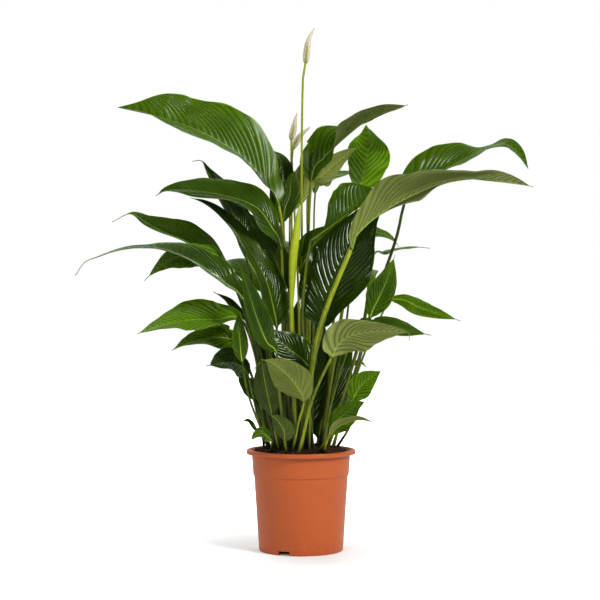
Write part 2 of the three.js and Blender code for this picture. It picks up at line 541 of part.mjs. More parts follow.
function potProfile() {
  const lip = POT_HEIGHT - LIP_HEIGHT;
  return [
    [0, 0], [BASE_RADIUS - BASE_CORNER, 0], [BASE_RADIUS - BASE_CORNER / 4, BASE_CORNER / 4],
    [BASE_RADIUS, BASE_CORNER], [STEP_RADIUS, STEP_HEIGHT - LEDGE_SLOPE],
    [BAND_LOW_RADIUS, STEP_HEIGHT], [BAND_TOP_RADIUS, lip],
    [RIM_RADIUS - LIP_CORNER, lip], [RIM_RADIUS, lip + LIP_CORNER],
    [RIM_RADIUS, POT_HEIGHT - TOP_CORNER], [RIM_RADIUS - TOP_CORNER, POT_HEIGHT],
    [MOUTH_RADIUS, POT_HEIGHT], [BAND_TOP_RADIUS - WALL, POT_HEIGHT - WALL],
    [BAND_LOW_RADIUS - WALL, STEP_HEIGHT + LEDGE_SLOPE],
    [STEP_RADIUS - WALL, STEP_HEIGHT - LEDGE_SLOPE], [BASE_RADIUS - WALL, FLOOR], [0, FLOOR],
  ];
}

function turned(profile) {
  const points = profile.map(([radius, height]) => new THREE.Vector2(radius, height));
  return new THREE.LatheGeometry(points, POT_SIDES).rotateX(Math.PI / 2);
}

// A block on the base's corner. Only its inner, upper quarter lies in the pot.
function notch(index) {
  const block = new THREE.BoxGeometry(2 * NOTCH_DEPTH, NOTCH_WIDTH, 2 * NOTCH_HEIGHT);
  block.translate(BASE_RADIUS, 0, 0);
  block.rotateZ(NOTCH_ANGLE + (index * 2 * Math.PI) / NOTCH_COUNT);
  return solidFrom(block);
}

function potGeometry() {
  let pot = solidFrom(turned(potProfile()));
  for (let index = 0; index < NOTCH_COUNT; index += 1) {
    pot = pot.subtract(notch(index));
  }
  return geometryOf(pot);
}

// A low mound with crossing lumps and slanting ridges, each given by its height and its wavelengths.
function soilHeight(x, y) {
  const turn = 2 * Math.PI;
  const rise = SOIL_MOUND * (1 - Math.min(Math.hypot(x, y) / BAND_LOW_RADIUS, 1) ** 2);
  const lump = LUMP.height * Math.sin((turn * x) / LUMP.across) * Math.cos((turn * y) / LUMP.deep);
  const ridge = RIDGE.height * Math.sin((turn * x) / RIDGE.across - (turn * y) / RIDGE.deep);
  return SOIL_EDGE + rise + lump + ridge;
}

function soilBlock() {
  const inset = WALL + GAP;
  const wall = [
    [0, FLOOR + GAP], [BASE_RADIUS - inset, FLOOR + GAP],
    [STEP_RADIUS - inset, STEP_HEIGHT - LEDGE_SLOPE], [BAND_LOW_RADIUS - inset, STEP_HEIGHT + LEDGE_SLOPE],
  ];
  const rim = BAND_TOP_RADIUS - inset - GAP;
  const surface = [];
  for (let ring = SOIL_RINGS; ring >= 0; ring -= 1) {
    surface.push([(rim * ring) / SOIL_RINGS, SOIL_EDGE]);
  }
  const block = turned([...wall, ...surface]);
  const { position } = block.attributes;
  for (let index = 0; index < position.count; index += 1) {
    const onSurface = position.getZ(index) > (STEP_HEIGHT + SOIL_EDGE) / 2;
    if (onSurface) position.setZ(index, soilHeight(position.getX(index), position.getY(index)));
  }
  return block;
}

function stemHole([x, y], foot) {
  const radius = (foot + GAP) / Math.cos(Math.PI / HOLE_SIDES);
  const depth = 2 * (COLLAR_HEIGHT - ROOT_HEIGHT);
  const hole = new THREE.CylinderGeometry(radius, radius, depth, HOLE_SIDES).rotateX(Math.PI / 2);
  hole.translate(x, y, ROOT_HEIGHT - GAP + depth / 2);
  return solidFrom(hole);
}

function soilGeometry() {
  let soil = solidFrom(soilBlock());
  for (const leaf of LEAVES) {
    soil = soil.subtract(stemHole(leaf.root, leaf.make.foot));
  }
  for (const flower of FLOWERS) {
    soil = soil.subtract(stemHole(flower.root, FLOWER_FOOT));
  }
  return geometryOf(soil);
}

// ---- the whole plant

const plant = new THREE.Group();
plant.add(named('pot', potGeometry(), TERRACOTTA));
plant.add(named('soil', soilGeometry(), COMPOST));
LEAVES.forEach((leaf, index) => {
  leaf.phase = WAVE_PHASE * index;
  plant.add(named(leaf.name, leafGeometry(leaf), LEAF_GREEN));
});
for (const flower of FLOWERS) {
  plant.add(named(`${flower.name}_stalk`, flowerStalkGeometry(flower), STALK_GREEN));
  plant.add(named(`${flower.name}_spathe`, spatheGeometry(flower), CREAM));
}

export default plant;
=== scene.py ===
"""A peace lily in its nursery pot: folded and ribbed leaves, furled spathes, crumbly compost and a
moulded pot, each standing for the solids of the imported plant, on a pale studio floor."""

import math
from types import SimpleNamespace

import bpy
import numpy as np
from bpy.props import FloatProperty, FloatVectorProperty, IntProperty, PointerProperty
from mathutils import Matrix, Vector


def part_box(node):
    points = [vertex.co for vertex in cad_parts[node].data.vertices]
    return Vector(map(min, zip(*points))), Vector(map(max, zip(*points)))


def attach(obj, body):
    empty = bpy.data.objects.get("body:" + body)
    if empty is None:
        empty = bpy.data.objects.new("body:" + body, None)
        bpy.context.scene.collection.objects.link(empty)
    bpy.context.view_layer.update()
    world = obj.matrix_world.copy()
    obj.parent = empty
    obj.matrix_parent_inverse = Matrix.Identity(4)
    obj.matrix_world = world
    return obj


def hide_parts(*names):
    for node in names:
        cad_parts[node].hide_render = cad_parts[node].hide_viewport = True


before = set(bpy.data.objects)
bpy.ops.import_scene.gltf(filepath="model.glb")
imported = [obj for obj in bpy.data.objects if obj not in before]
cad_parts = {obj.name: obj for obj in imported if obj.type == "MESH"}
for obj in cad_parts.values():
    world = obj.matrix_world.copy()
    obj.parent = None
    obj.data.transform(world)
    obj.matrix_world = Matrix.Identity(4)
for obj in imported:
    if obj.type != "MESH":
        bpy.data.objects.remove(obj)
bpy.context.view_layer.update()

bl_info = {
    "name": "Potted peace lily",
    "version": (1, 0, 0),
    "blender": (4, 5, 0),
    "location": "3D View > Sidebar > Peace lily",
    "description": "Makes the pot, compost, leaves and flowers of a peace lily, and a studio stage",
    "category": "Add Mesh",
}

MM = 0.001

# ---- pot, in metres. Its height and rim come from the frame.
POT_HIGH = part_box("pot")[1]
POT_HEIGHT = POT_HIGH.z
RIM_RADIUS = POT_HIGH.x
LIP_HEIGHT = 6.6 * MM
BAND_TOP_RADIUS = 76.7 * MM
BAND_LOW_RADIUS = 74.8 * MM
STEP_HEIGHT = 118.6 * MM
STEP_RADIUS = 73.3 * MM
BASE_RADIUS = 65.5 * MM
MOUTH_RADIUS = 78.2 * MM
WALL = 2 * MM
FLOOR_THICKNESS = 2.5 * MM
NOTCH_SIZE = (18 * MM, 18 * MM, 13 * MM)
NOTCH_COUNT = 3
NOTCH_ANGLE = math.radians(-113.4)
POT_SIDES = 160
FOOT_ROUND = 1.8 * MM
LIP_UNDER_ROUND = 1.1 * MM
LIP_TOP_ROUND = 1.8 * MM
MOUTH_ROUND = 1 * MM
LEDGE_SLOPE = 0.8 * MM
SHARP_EDGE = math.radians(32)

# ---- compost
SOIL_EDGE = 152.5 * MM
SOIL_RADIUS = 73.6 * MM
SOIL_MOUND = 7 * MM
SOIL_FLATNESS = 6
SOIL_DEPTH = 12 * MM
SOIL_RINGS = 44
SOIL_SIDES = 150
LUMP_HEIGHT = 0.9
CLOD_HEIGHT = 0.5
CRUMB_FLATNESS = (1.0, 0.6, 0.35)
CRUMB_TURN = 6.28

# ---- the eye that the leaves are sighted from, in millimetres as the stations are
EYE_DISTANCE = 2400
EYE_HEIGHT = 390
EYE_ACROSS = -1.6
FOCAL_LENGTH = 92.16
SENSOR_WIDTH = 36

# ---- the stage, in metres: where each light stands, and its two sizes
PLANT_MIDDLE = (0, 0, 0.4)
FLOOR_SIZE = 12
LIGHTS = {
    "key": ((1.9, -1.9, 1.9), (0.8, 0.8)),
    "front": ((-1.1, -2.6, 1.5), (0.3, 0.9)),
    "overhead": ((-0.3, 0.9, 2.2), (2.0, 0.8)),
    "side": ((-2.2, -1.0, 1.0), (0.3, 1.6)),
}

# ---- leaves, in millimetres. Curls are in degrees.
COLLAR_HEIGHT = 158
ROOT_HEIGHT = 146
NECK_HALF_WIDTH = 1.2
TIP_HALF_WIDTH = 0.35
BLADE_THICKNESS = 0.7
MARGIN_THINNING = 0.5
MARGIN_CURL = 8
WAVES = 2.3
WAVE_SHIFT = 0.37
WAVE_HEIGHT = 0.05
WAVE_PHASE = 1.7
RIPPLES = 6.3
RIPPLE_HEIGHT = 0.012
RIPPLE_PACE = 2.7
CURL_SPREAD = 0.35
FOLD_SOFTNESS = 1.5
VEIN_SPACING = 4.6
VEIN_SPACING_GROWTH = 0.062
FEWEST_VEINS = 7
VEIN_LEAN = 0.36
VEIN_BEND = 1.15
RINGS_PER_VEIN = 7
FULL_RIB_WIDTH = 95
RIB_MIDDLE = 0.6
RIBS_FROM_MIDRIB = (0.02, 0.16)
RIBS_TO_MARGIN = (0.65, 1.0)
RIBS_FROM_NECK = (0.03, 0.12)
RIBS_TO_TIP = (0.93, 1.0)
NECK_BLEND = 0.055
SHARP_FOLD = math.radians(62)

# ---- the midrib, as shares of the stalk's radius at the neck and then of the midrib's own radius
RIB_SHARE = 0.7
RIB_TAPER = 0.8
RIB_TIP_RADIUS = 0.2
RIB_EDGE = 1.15
RIB_CORNERS = (0, 0.45, 0.85, RIB_EDGE)
PAST_RIB = 20
NARROWEST = 1.3
GROOVE_DEPTH = 0.35
GROOVE_WIDTH = 0.45
KEEL_HEIGHT = 0.85

# ---- the young leaf's roll: where its seam is, how its skin laps, and where its ribs and midrib show
SEAM_TURNS = 0.25
ROLL_INSIDE = 0.9
ROLL_LAP = 0.16
ROLL_START = 0.15
ROLLED_RIB_SLANT = 1.6
ROLLED_RIBS_FROM = (0.04, 0.2)
ROLLED_RIBS_TO = (0.5, 0.72)
ROLLED_RIBS_FROM_NECK = (0.05, 0.2)
ROLLED_MIDRIB = 0.8
ROLLED_MIDRIB_SPREAD = 9

# ---- how leaves are divided. A row of a round ring ends just short of half a turn.
ROW_END = 0.485 * math.pi
FINE_STEPS = 400
CURVE_DIVISIONS = 40

LEFT, RIGHT, AWAY = 1, -1, 0
STOUT = SimpleNamespace(foot=4.6, neck=3.6, half_corners=15)
LARGE = SimpleNamespace(foot=3.2, neck=2.2, half_corners=15)
MEDIUM = SimpleNamespace(foot=2.7, neck=1.7, half_corners=13)
SMALL = SimpleNamespace(foot=2.1, neck=1.3, half_corners=10)
YOUNG = SimpleNamespace(foot=4, neck=3.4, half_corners=16)
STALK_RINGS = 26
ROLLED_RINGS = 150
ROLLED_RIB_SPACING = 3.6
SEAM_ANGLE = -1.9
UPPER, UNDER, STALK, ROLLED = range(4)

# ---- flowers, in millimetres
FLOWER_STALK = SimpleNamespace(foot=2, neck=1.6)
FLOWER_STALK_CORNERS = 20
SPATHE_RINGS = 60
SPATHE_ROW = 17
SPATHE_FOOT_RADIUS = 1.7
SPATHE_TIP_RADIUS = 0.4
SPATHE_THICKNESS = 0.7
SPATHE_SKEW = 0.6
SPATHE_FURL = math.radians(158)
SPATHE_FLARE = 0.16


def leaf(name, side, width, make, roll, fold, root, stem, blade, **more):
    """One leaf: where it runs, how wide it is, and how it turns and folds from neck to tip."""
    shape = dict(peak=0.42, tail=0.08, point=1, tone=0.4, stalk_tone=0.35, bloom=0, rolled=False)
    shape.update(more)
    return SimpleNamespace(name=name, side=side, width=width, make=make, roll=roll, fold=fold,
                           root=root, stem=stem, blade=blade, **shape)


def flower(name, root, stem, spathe, width):
    """One flower: its stalk's stations, its spathe's stations and the spathe's width."""
    return SimpleNamespace(name=name, root=root, stem=stem, spathe=spathe, width=width)


# Stations are (across, up, depth) in millimetres, sighted from the eye as a change of depth leaves
# the front view as it was. roll is how far the face is turned from the eye, 90 faces up and 180
# shows the underside. fold is how far each half is raised. The tone runs from dark to bright, for
# the blade and for the stalk alike; it is partly the leaf's own green and partly painted light and
# shade, darker for a leaf or stalk that stands in shade and brighter for one in the light.
LEAVES = [
    leaf("top_left", LEFT, 128, LARGE, roll=(56, 56, 56, 55, 51, 50, 52, 44, 56, 59),
         fold=(42, 42, 42, 41, 38, 33, 30, 44, 42, 39), peak=0.47, tail=0, tone=0.36, stalk_tone=0.75,
         bloom=0.45, root=(-16, 6), stem=[(-22, 390, 10)], blade=[(-34, 535, 12), (-61, 577, 14),
         (-90, 611, 10), (-127, 637, 2), (-168, 658, -7), (-220, 676, -16), (-286, 691, -24)]),
    leaf("top_left_behind", LEFT, 48, MEDIUM, roll=30, fold=15, tone=0.08, stalk_tone=0.2, bloom=0.5,
         root=(-8, 20), stem=[(-27, 390, 40)], blade=[(-31, 507, 55), (-29, 570, 62), (-32, 609, 76),
         (-50, 628, 105)]),
    leaf("centre_small", RIGHT, 36, SMALL, roll=25, fold=15, tone=0.2, stalk_tone=0.3, root=(-2, 8),
         stem=[(-18, 390, 18)], blade=[(-27, 512, 22), (-17, 554, 24), (-14, 581, 28), (-5, 597, 34)]),
    leaf("centre_light", RIGHT, 36, SMALL, roll=150, fold=15, tone=0.8, stalk_tone=0.8, root=(2, 20),
         stem=[(-14, 390, 27)], blade=[(-17, 523, 34), (-2, 562, 42), (8, 601, 47), (22, 625, 51)]),
    leaf("left_second", LEFT, 90, LARGE, roll=(57, 54, 61, 64, 60, 55), fold=(6, 12, 20, 22, 15, 25),
         peak=0.48, tail=0.02, tone=0.15, stalk_tone=0.6, bloom=0.15, root=(-20, -25),
         stem=[(-28, 343, -24)], blade=[(-31, 467, -26), (-46, 504, -30), (-72, 536, -42),
         (-119, 553, -56), (-168, 561, -70), (-208, 562, -79), (-227, 553, -84)]),
    leaf("left_second_behind", LEFT, 55, MEDIUM, roll=50, fold=30, tone=0.1, stalk_tone=0.15, bloom=0.8,
         root=(-25, 15), stem=[(-60, 343, 20)], blade=[(-84, 450, 35), (-98, 507, 40), (-123, 554, 45),
         (-145, 590, 50), (-155, 607, 52), (-170, 607, 50)]),
    leaf("centre_rising", LEFT, 60, MEDIUM, roll=(15, 42, 62, 62, 53, 44), fold=(15, 28, 22, 20, 27, 30),
         peak=0.3, tail=0.02, tone=0.08, stalk_tone=0.2, root=(-12, -38), stem=[(-33, 250, -42)],
         blade=[(-38, 346, -47), (-42, 372, -49), (-53, 415, -53), (-69, 448, -55), (-84, 473, -55),
         (-103, 501, -54), (-127, 526, -52), (-150, 542, -48), (-173, 550, -46)]),
    leaf("left_third", LEFT, 72, LARGE, roll=(82, 77, 67, 55, 60, 62), fold=(14, 18, 28, 38, 20, 16),
         peak=0.5, tail=0.1, tone=0.46, stalk_tone=0.15, bloom=0.4, root=(-30, 5), stem=[(-61, 296, 0)],
         blade=[(-94, 390, 5), (-115, 429, 5), (-140, 458, 3), (-175, 480, -2), (-212, 496, -6),
         (-240, 511, -10), (-266, 525, -12), (-295, 512, -15)]),
    leaf("left_fourth", LEFT, 68, LARGE, roll=(45, 48, 68, 72, 82, 84, 82, 84),
         fold=(48, 46, 28, 24, 12, 9, 10, 12), peak=0.38, tail=0.04, tone=0.12, stalk_tone=0.2, bloom=1,
         root=(-28, -35), stem=[(-61, 281, -55)], blade=[(-89, 386, -70), (-119, 417, -80),
         (-165, 449, -93), (-212, 468, -104), (-248, 473, -113), (-283, 469, -119), (-316, 458, -123),
         (-338, 449, -125), (-353, 428, -128)]),
    leaf("left_fourth_below", LEFT, 54, MEDIUM, roll=45, fold=5, tone=0.5, stalk_tone=0.2, bloom=0.3,
         root=(-40, -10), stem=[(-80, 343, -16)], blade=[(-123, 450, -44), (-158, 461, -58),
         (-197, 456, -68), (-223, 441, -73), (-245, 420, -76)]),
    leaf("left_fifth", LEFT, 76, LARGE, roll=(40, 42, 53, 58, 66, 70), fold=(44, 42, 28, 14, 14, 10),
         peak=0.48, tail=0.02, tone=0.65, stalk_tone=0.2, bloom=0.15, root=(-38, -28),
         stem=[(-61, 265, -40)], blade=[(-91, 356, -55), (-134, 359, -66), (-181, 358, -77),
         (-220, 351, -88), (-256, 337, -95)]),
    leaf("left_sixth", LEFT, 54, MEDIUM, roll=(30, 35, 50, 58, 66, 70), fold=(24, 20, 14, 20, 22, 22),
         tail=0.02, tone=0.6, stalk_tone=0.2, root=(-49, -6), stem=[(-67, 242, -20)],
         blade=[(-98, 320, -32), (-114, 329, -37), (-134, 332, -44), (-155, 329, -49), (-180, 322, -55),
         (-202, 311, -58)]),
    leaf("left_small_upright", LEFT, 22, SMALL, roll=10, fold=10, tail=0.02, tone=0.18, stalk_tone=0.15,
         root=(-48, -25), stem=[(-80, 234, -80)], blade=[(-92, 293, -105), (-95, 320, -108),
         (-97, 343, -108), (-98, 370, -105)]),
    leaf("left_small_dark", LEFT, 20, SMALL, roll=60, fold=20, tone=0.05, stalk_tone=0.1, root=(-42, 8),
         stem=[(-67, 281, 8)], blade=[(-86, 356, 4), (-101, 375, 0), (-119, 392, -4), (-137, 403, -8)]),
    leaf("left_dark_glossy", LEFT, 58, MEDIUM, roll=50, fold=14, peak=0.5, tone=0, stalk_tone=0.15,
         bloom=0.3, root=(-50, -15), stem=[(-65, 200, -40)], blade=[(-83, 271, -70), (-95, 287, -80),
         (-114, 293, -90), (-133, 290, -100), (-148, 287, -108)]),
    leaf("left_low_green", LEFT, 24, SMALL, roll=30, fold=15, stalk_tone=0.2, root=(-51, 12),
         stem=[(-61, 203, 0)], blade=[(-72, 234, -5), (-81, 253, -8), (-91, 268, -10), (-95, 287, -10)]),
    leaf("front_left_shade", LEFT, 44, MEDIUM, roll=(160, 150), fold=15, tone=0.1, stalk_tone=0.25,
         root=(-33, -50), stem=[(-41, 187, -62)], blade=[(-45, 211, -67), (-52, 242, -71),
         (-58, 273, -76), (-62, 293, -82), (-72, 283, -90)]),
    leaf("front_olive", LEFT, 56, MEDIUM, roll=(165, 155), fold=15, tone=0.6, stalk_tone=0.6,
         root=(-13, -56), stem=[(-5, 195, -75)], blade=[(4, 231, -90), (-5, 252, -103), (-19, 270, -117),
         (-37, 286, -131), (-52, 295, -142), (-64, 297, -150)]),
    leaf("front_dark", LEFT, 58, MEDIUM, roll=25, fold=12, tone=0.05, stalk_tone=0.3, root=(12, -45),
         stem=[(13, 234, -50)], blade=[(17, 276, -64), (3, 296, -68), (-17, 312, -71), (-38, 331, -73),
         (-58, 351, -72)]),
    leaf("left_centre_long", LEFT, 38, MEDIUM, roll=28, fold=28, tone=0.13, stalk_tone=0.3, bloom=0.3,
         root=(-23, -54), stem=[(-33, 234, -86)], blade=[(-38, 305, -98), (-54, 325, -103),
         (-71, 367, -108), (-83, 406, -113), (-92, 432, -116), (-100, 449, -118)]),
    leaf("behind_second", LEFT, 38, MEDIUM, roll=140, fold=15, tone=0.05, stalk_tone=0.15, bloom=0.5,
         root=(-15, 30), stem=[(-45, 343, 10)], blade=[(-61, 450, 10), (-67, 484, 12), (-77, 512, 15),
         (-91, 534, 20)]),
    leaf("striped_behind", LEFT, 46, MEDIUM, roll=20, fold=15, tone=0.04, stalk_tone=0.2, bloom=0.7,
         root=(-6, -8), stem=[(-25, 312, -8)], blade=[(-22, 390, -10), (-31, 429, -12), (-48, 468, -14),
         (-72, 496, -16), (-91, 513, -18)]),
    leaf("low_left_tip", LEFT, 24, SMALL, roll=50, fold=10, tail=0.02, tone=0.36, stalk_tone=0.4,
         bloom=0.3, root=(-45, -48), stem=[(-46, 165, -62)], blade=[(-47, 171, -75), (-58, 181, -85),
         (-69, 179, -95), (-78, 171, -102)]),
    leaf("low_left_thin", LEFT, 12, SMALL, roll=60, fold=10, tone=0.28, stalk_tone=0.3, root=(-58, 3),
         stem=[(-60, 175, -10)], blade=[(-69, 187, -20), (-77, 196, -30), (-83, 201, -38),
         (-92, 201, -48)]),
    leaf("front_small_olive", LEFT, 31, SMALL, roll=160, fold=15, tone=0.15, stalk_tone=0.4,
         root=(-22, -64), stem=[(-24, 162, -72)], blade=[(-25, 170, -82), (-27, 187, -93),
         (-38, 203, -100), (-51, 213, -106)]),
    leaf("young", RIGHT, 13, YOUNG, roll=0, fold=0, peak=0.55, tail=0, tone=0.9, stalk_tone=0.85,
         rolled=True, root=(-8, -24), stem=[(-13, 280, -46)], blade=[(-15, 380, -56), (-14, 421, -58),
         (-12, 461, -58), (-7, 500, -57), (-2, 541, -55)]),
    leaf("top_right", RIGHT, 95, LARGE, roll=(31, 36, 58, 94, 104, 110, 120),
         fold=(36, 38, 34, 24, 21, 26, 34), tail=0.02, tone=0.28, stalk_tone=0.5, root=(8, 12),
         stem=[(9, 390, 20)], blade=[(16, 573, 30), (38, 614, 31), (73, 648, 22), (111, 675, 9),
         (167, 695, -8)]),
    leaf("top_right_light", RIGHT, 55, MEDIUM, roll=125, fold=15, tone=0.9, stalk_tone=0.6, root=(12, 25),
         stem=[(13, 390, 50)], blade=[(11, 559, 69), (33, 584, 75), (56, 604, 79), (77, 621, 82),
         (95, 632, 85)]),
    leaf("top_right_grey", RIGHT, 34, SMALL, roll=60, fold=15, stalk_tone=0.3, bloom=0.9, root=(17, 36),
         stem=[(20, 390, 85)], blade=[(22, 554, 112), (38, 573, 128), (61, 586, 148), (100, 593, 174)]),
    leaf("back_broad", RIGHT, 86, LARGE, roll=(38, 38, 43, 48, 43, 35, 36, 48, 48),
         fold=(-8, -8, -8, -2, -4, 6, 35, 48, 48), peak=0.5, tail=0, tone=1, stalk_tone=0.4, bloom=0.25,
         root=(30, 30), stem=[(67, 390, 58)], blade=[(89, 548, 94), (96, 577, 102), (102, 606, 111),
         (105, 627, 118), (106, 647, 124), (102, 664, 132)]),
    leaf("right_mid", RIGHT, 92, LARGE, roll=(60, 57, 50, 50, 48, 46), fold=(38, 38, 44, 44, 44, 44),
         peak=0.6, tail=0, point=1.1, tone=0.2, stalk_tone=0.3, root=(18, -15), stem=[(2, 343, -46),
         (13, 472, -62)], blade=[(27, 490, -63), (46, 504, -65), (65, 518, -64), (84, 532, -61),
         (103, 547, -55), (123, 562, -46)]),
    leaf("right_long", RIGHT, 100, STOUT, roll=(124, 130, 128, 112, 101, 94, 104, 118),
         fold=(38, 46, 42, 20, 20, 14, 22, 34), peak=0.5, tail=0.02, tone=0.6, stalk_tone=0.7, bloom=0.6,
         root=(-2, -46), stem=[(27, 335, -95)], blade=[(77, 468, -120), (89, 496, -125), (131, 531, -130),
         (178, 557, -136), (217, 572, -140), (272, 580, -142), (319, 576, -142), (363, 567, -140)]),
    leaf("right_upper", RIGHT, 98, LARGE, roll=(47, 47, 49, 52, 57, 64, 71, 83, 77, 58, 54, 58),
         fold=(51, 51, 49, 45, 38, 29, 21, 11, 7, 18, 24, 19), peak=0.4, tail=0, tone=0.28,
         stalk_tone=0.1, bloom=0.1, root=(35, 5), stem=[(77, 250, 25), (111, 375, 35), (148, 484, 40)],
         blade=[(161, 539, 40), (178, 562, 40), (202, 581, 40), (241, 603, 40), (272, 618, 40),
         (295, 628, 40), (316, 634, 40), (331, 628, 42), (344, 614, 44), (355, 595, 46)]),
    leaf("right_grey_back", RIGHT, 26, SMALL, roll=50, fold=10, stalk_tone=0.2, bloom=0.9, root=(30, 45),
         stem=[(69, 343, 76)], blade=[(84, 484, 98), (108, 496, 106), (131, 493, 113), (145, 484, 117),
         (153, 473, 120)]),
    leaf("right_thin", RIGHT, 40, MEDIUM, roll=(82, 84), fold=5, tone=0.35, stalk_tone=0.2, bloom=0.5,
         root=(42, 20), stem=[(95, 343, 45)], blade=[(111, 454, 60), (131, 465, 65), (155, 471, 70),
         (178, 473, 74), (202, 471, 78)]),
    leaf("right_upright", RIGHT, 38, MEDIUM, roll=0, fold=15, tone=0.3, stalk_tone=0.3, root=(40, -25),
         stem=[(80, 265, -45)], blade=[(108, 362, -62), (120, 390, -68), (133, 418, -74), (141, 442, -80),
         (147, 462, -86)]),
    leaf("right_narrow", RIGHT, 13, SMALL, roll=0, fold=20, tone=0.9, stalk_tone=0.4, root=(36, -8),
         stem=[(84, 296, -20)], blade=[(105, 382, -30), (109, 400, -32), (114, 415, -34),
         (114, 434, -36)]),
    leaf("right_low_tip", RIGHT, 28, SMALL, roll=35, fold=5, tone=0.5, stalk_tone=0.3, root=(48, -5),
         stem=[(95, 296, -10), (128, 371, -18)], blade=[(139, 389, -20), (160, 390, -22), (186, 378, -26),
         (217, 368, -30), (250, 357, -34)]),
    leaf("right_low_dark", RIGHT, 36, SMALL, roll=45, fold=10, peak=0.5, tone=0.2, stalk_tone=0.3,
         bloom=0.3, root=(32, -38), stem=[(53, 250, -60)], blade=[(89, 350, -85), (111, 351, -95),
         (139, 350, -105), (167, 342, -115), (203, 335, -125)]),
    leaf("front_right_light", RIGHT, 76, LARGE, roll=(142, 128), fold=4, peak=0.32, point=1.2, tone=0.88,
         stalk_tone=0.5, bloom=0.5, root=(-3, -61), stem=[(17, 234, -80)], blade=[(47, 300, -100),
         (56, 319, -105), (73, 333, -112), (100, 340, -122), (136, 342, -134), (167, 339, -145),
         (169, 327, -150)]),
    leaf("right_centre_big", RIGHT, 119, LARGE, roll=(47, 36, 27, 29, 40, 42),
         fold=(44, 33, 25, 26, 34, 36), peak=0.36, tail=0.02, point=0.8, tone=0, stalk_tone=0.3,
         root=(10, -30), stem=[(6, 234, -38)], blade=[(33, 343, -50), (44, 380, -50), (56, 414, -48),
         (72, 453, -44), (92, 492, -38), (130, 549, -26)]),
    leaf("low_right_bright", RIGHT, 36, SMALL, roll=15, fold=10, tail=0.02, tone=0.6, stalk_tone=0.4,
         root=(56, 12), stem=[(77, 195, -20)], blade=[(81, 231, -55), (87, 246, -60), (100, 262, -66),
         (125, 279, -76)]),
    leaf("low_right_broad", RIGHT, 44, MEDIUM, roll=38, fold=-8, tail=0.02, tone=0.42, stalk_tone=0.45,
         root=(28, -52), stem=[(38, 168, -64)], blade=[(45, 181, -72), (55, 200, -80), (72, 215, -90),
         (86, 225, -98), (100, 231, -106)]),
    leaf("low_right_folded", RIGHT, 24, SMALL, roll=120, fold=30, tone=0.7, stalk_tone=0.45,
         root=(34, -60), stem=[(40, 167, -82)], blade=[(45, 178, -96), (58, 192, -108), (77, 200, -117),
         (95, 203, -125), (117, 198, -132)]),
    leaf("right_tiny_back", RIGHT, 11, SMALL, roll=60, fold=5, tone=0.3, stalk_tone=0.3, root=(52, 30),
         stem=[(69, 234, 40)], blade=[(77, 284, 44), (86, 292, 46), (94, 293, 48), (102, 285, 50)]),
    leaf("back_centre", AWAY, 85, LARGE, roll=45, fold=15, tone=0.25, stalk_tone=0.25, root=(5, 53),
         stem=[(10, 300, 72)], blade=[(10, 420, 112), (10, 460, 150), (12, 475, 210), (12, 465, 270),
         (15, 440, 330)]),
    leaf("back_left", AWAY, 75, LARGE, roll=45, fold=15, tone=0.28, stalk_tone=0.25, root=(-35, 40),
         stem=[(-45, 280, 70)], blade=[(-60, 400, 110), (-75, 440, 150), (-88, 455, 200), (-94, 445, 250),
         (-95, 425, 300)]),
    leaf("back_right", AWAY, 75, LARGE, roll=45, fold=15, tone=0.32, stalk_tone=0.25, root=(38, 53),
         stem=[(45, 280, 80)], blade=[(55, 390, 120), (72, 425, 160), (88, 440, 210), (100, 430, 260),
         (108, 400, 310)]),
    leaf("back_low_left", AWAY, 72, LARGE, roll=(8, 20, 45, 45), fold=15, peak=0.27, tone=0.02,
         stalk_tone=0.15, root=(-25, 55), stem=[(-26, 165, 59)], blade=[(-28, 173, 65), (-30, 186, 78),
         (-34, 215, 98), (-39, 260, 122), (-46, 305, 146), (-52, 335, 180), (-57, 340, 217),
         (-60, 322, 250)]),
    leaf("back_low_right", AWAY, 76, LARGE, roll=(8, 20, 45, 45), fold=15, peak=0.27, tone=0.02,
         stalk_tone=0.15, root=(25, 60), stem=[(26, 165, 63)], blade=[(27, 173, 68), (30, 186, 80),
         (36, 212, 100), (45, 255, 124), (56, 298, 150), (68, 326, 184), (79, 328, 218), (88, 308, 250)]),
    leaf("back_low", AWAY, 84, LARGE, roll=(8, 8, 20, 45), fold=12, peak=0.36, tone=0, stalk_tone=0.15,
         root=(2, 64), stem=[(3, 165, 67)], blade=[(3, 173, 70), (4, 190, 76), (5, 225, 84), (7, 280, 92),
         (8, 335, 104), (9, 378, 126), (10, 398, 165), (12, 394, 205)]),
    leaf("centre_low", RIGHT, 44, MEDIUM, roll=32, fold=14, peak=0.45, tail=0.02, tone=0.3,
         stalk_tone=0.4, root=(14, 4), stem=[(4, 300, -8)], blade=[(0, 438, -20), (8, 461, -21),
         (22, 480, -22), (40, 496, -22), (58, 508, -20)]),
]

FLOWERS = [
    flower("tall", root=(6, 2), stem=[(2, 390, 0), (1, 600, 0), (3, 735, 0)], spathe=[(7, 760, 0),
         (9, 778, 0), (12, 797, 2), (21, 815, 5)], width=11),
    flower("left", root=(-12, 42), stem=[(-14, 390, 75), (-15, 600, 92)], spathe=[(-15, 640, 94),
         (-12, 655, 94), (-9, 671, 94), (-6, 683, 94)], width=11),
    flower("middle", root=(-1, 40), stem=[(-4, 400, 80), (-14, 600, 107)], spathe=[(-13, 625, 112),
         (-8, 636, 112), (0, 648, 112), (15, 661, 110)], width=11),
]


# ---- lines and directions, shared by leaves and flowers

def sight(station):
    """The real place, in millimetres, of a sighted station."""
    across, up, depth = station
    scale = 1 + depth / EYE_DISTANCE
    return np.array([across * scale, depth, EYE_HEIGHT + (up - EYE_HEIGHT) * scale])


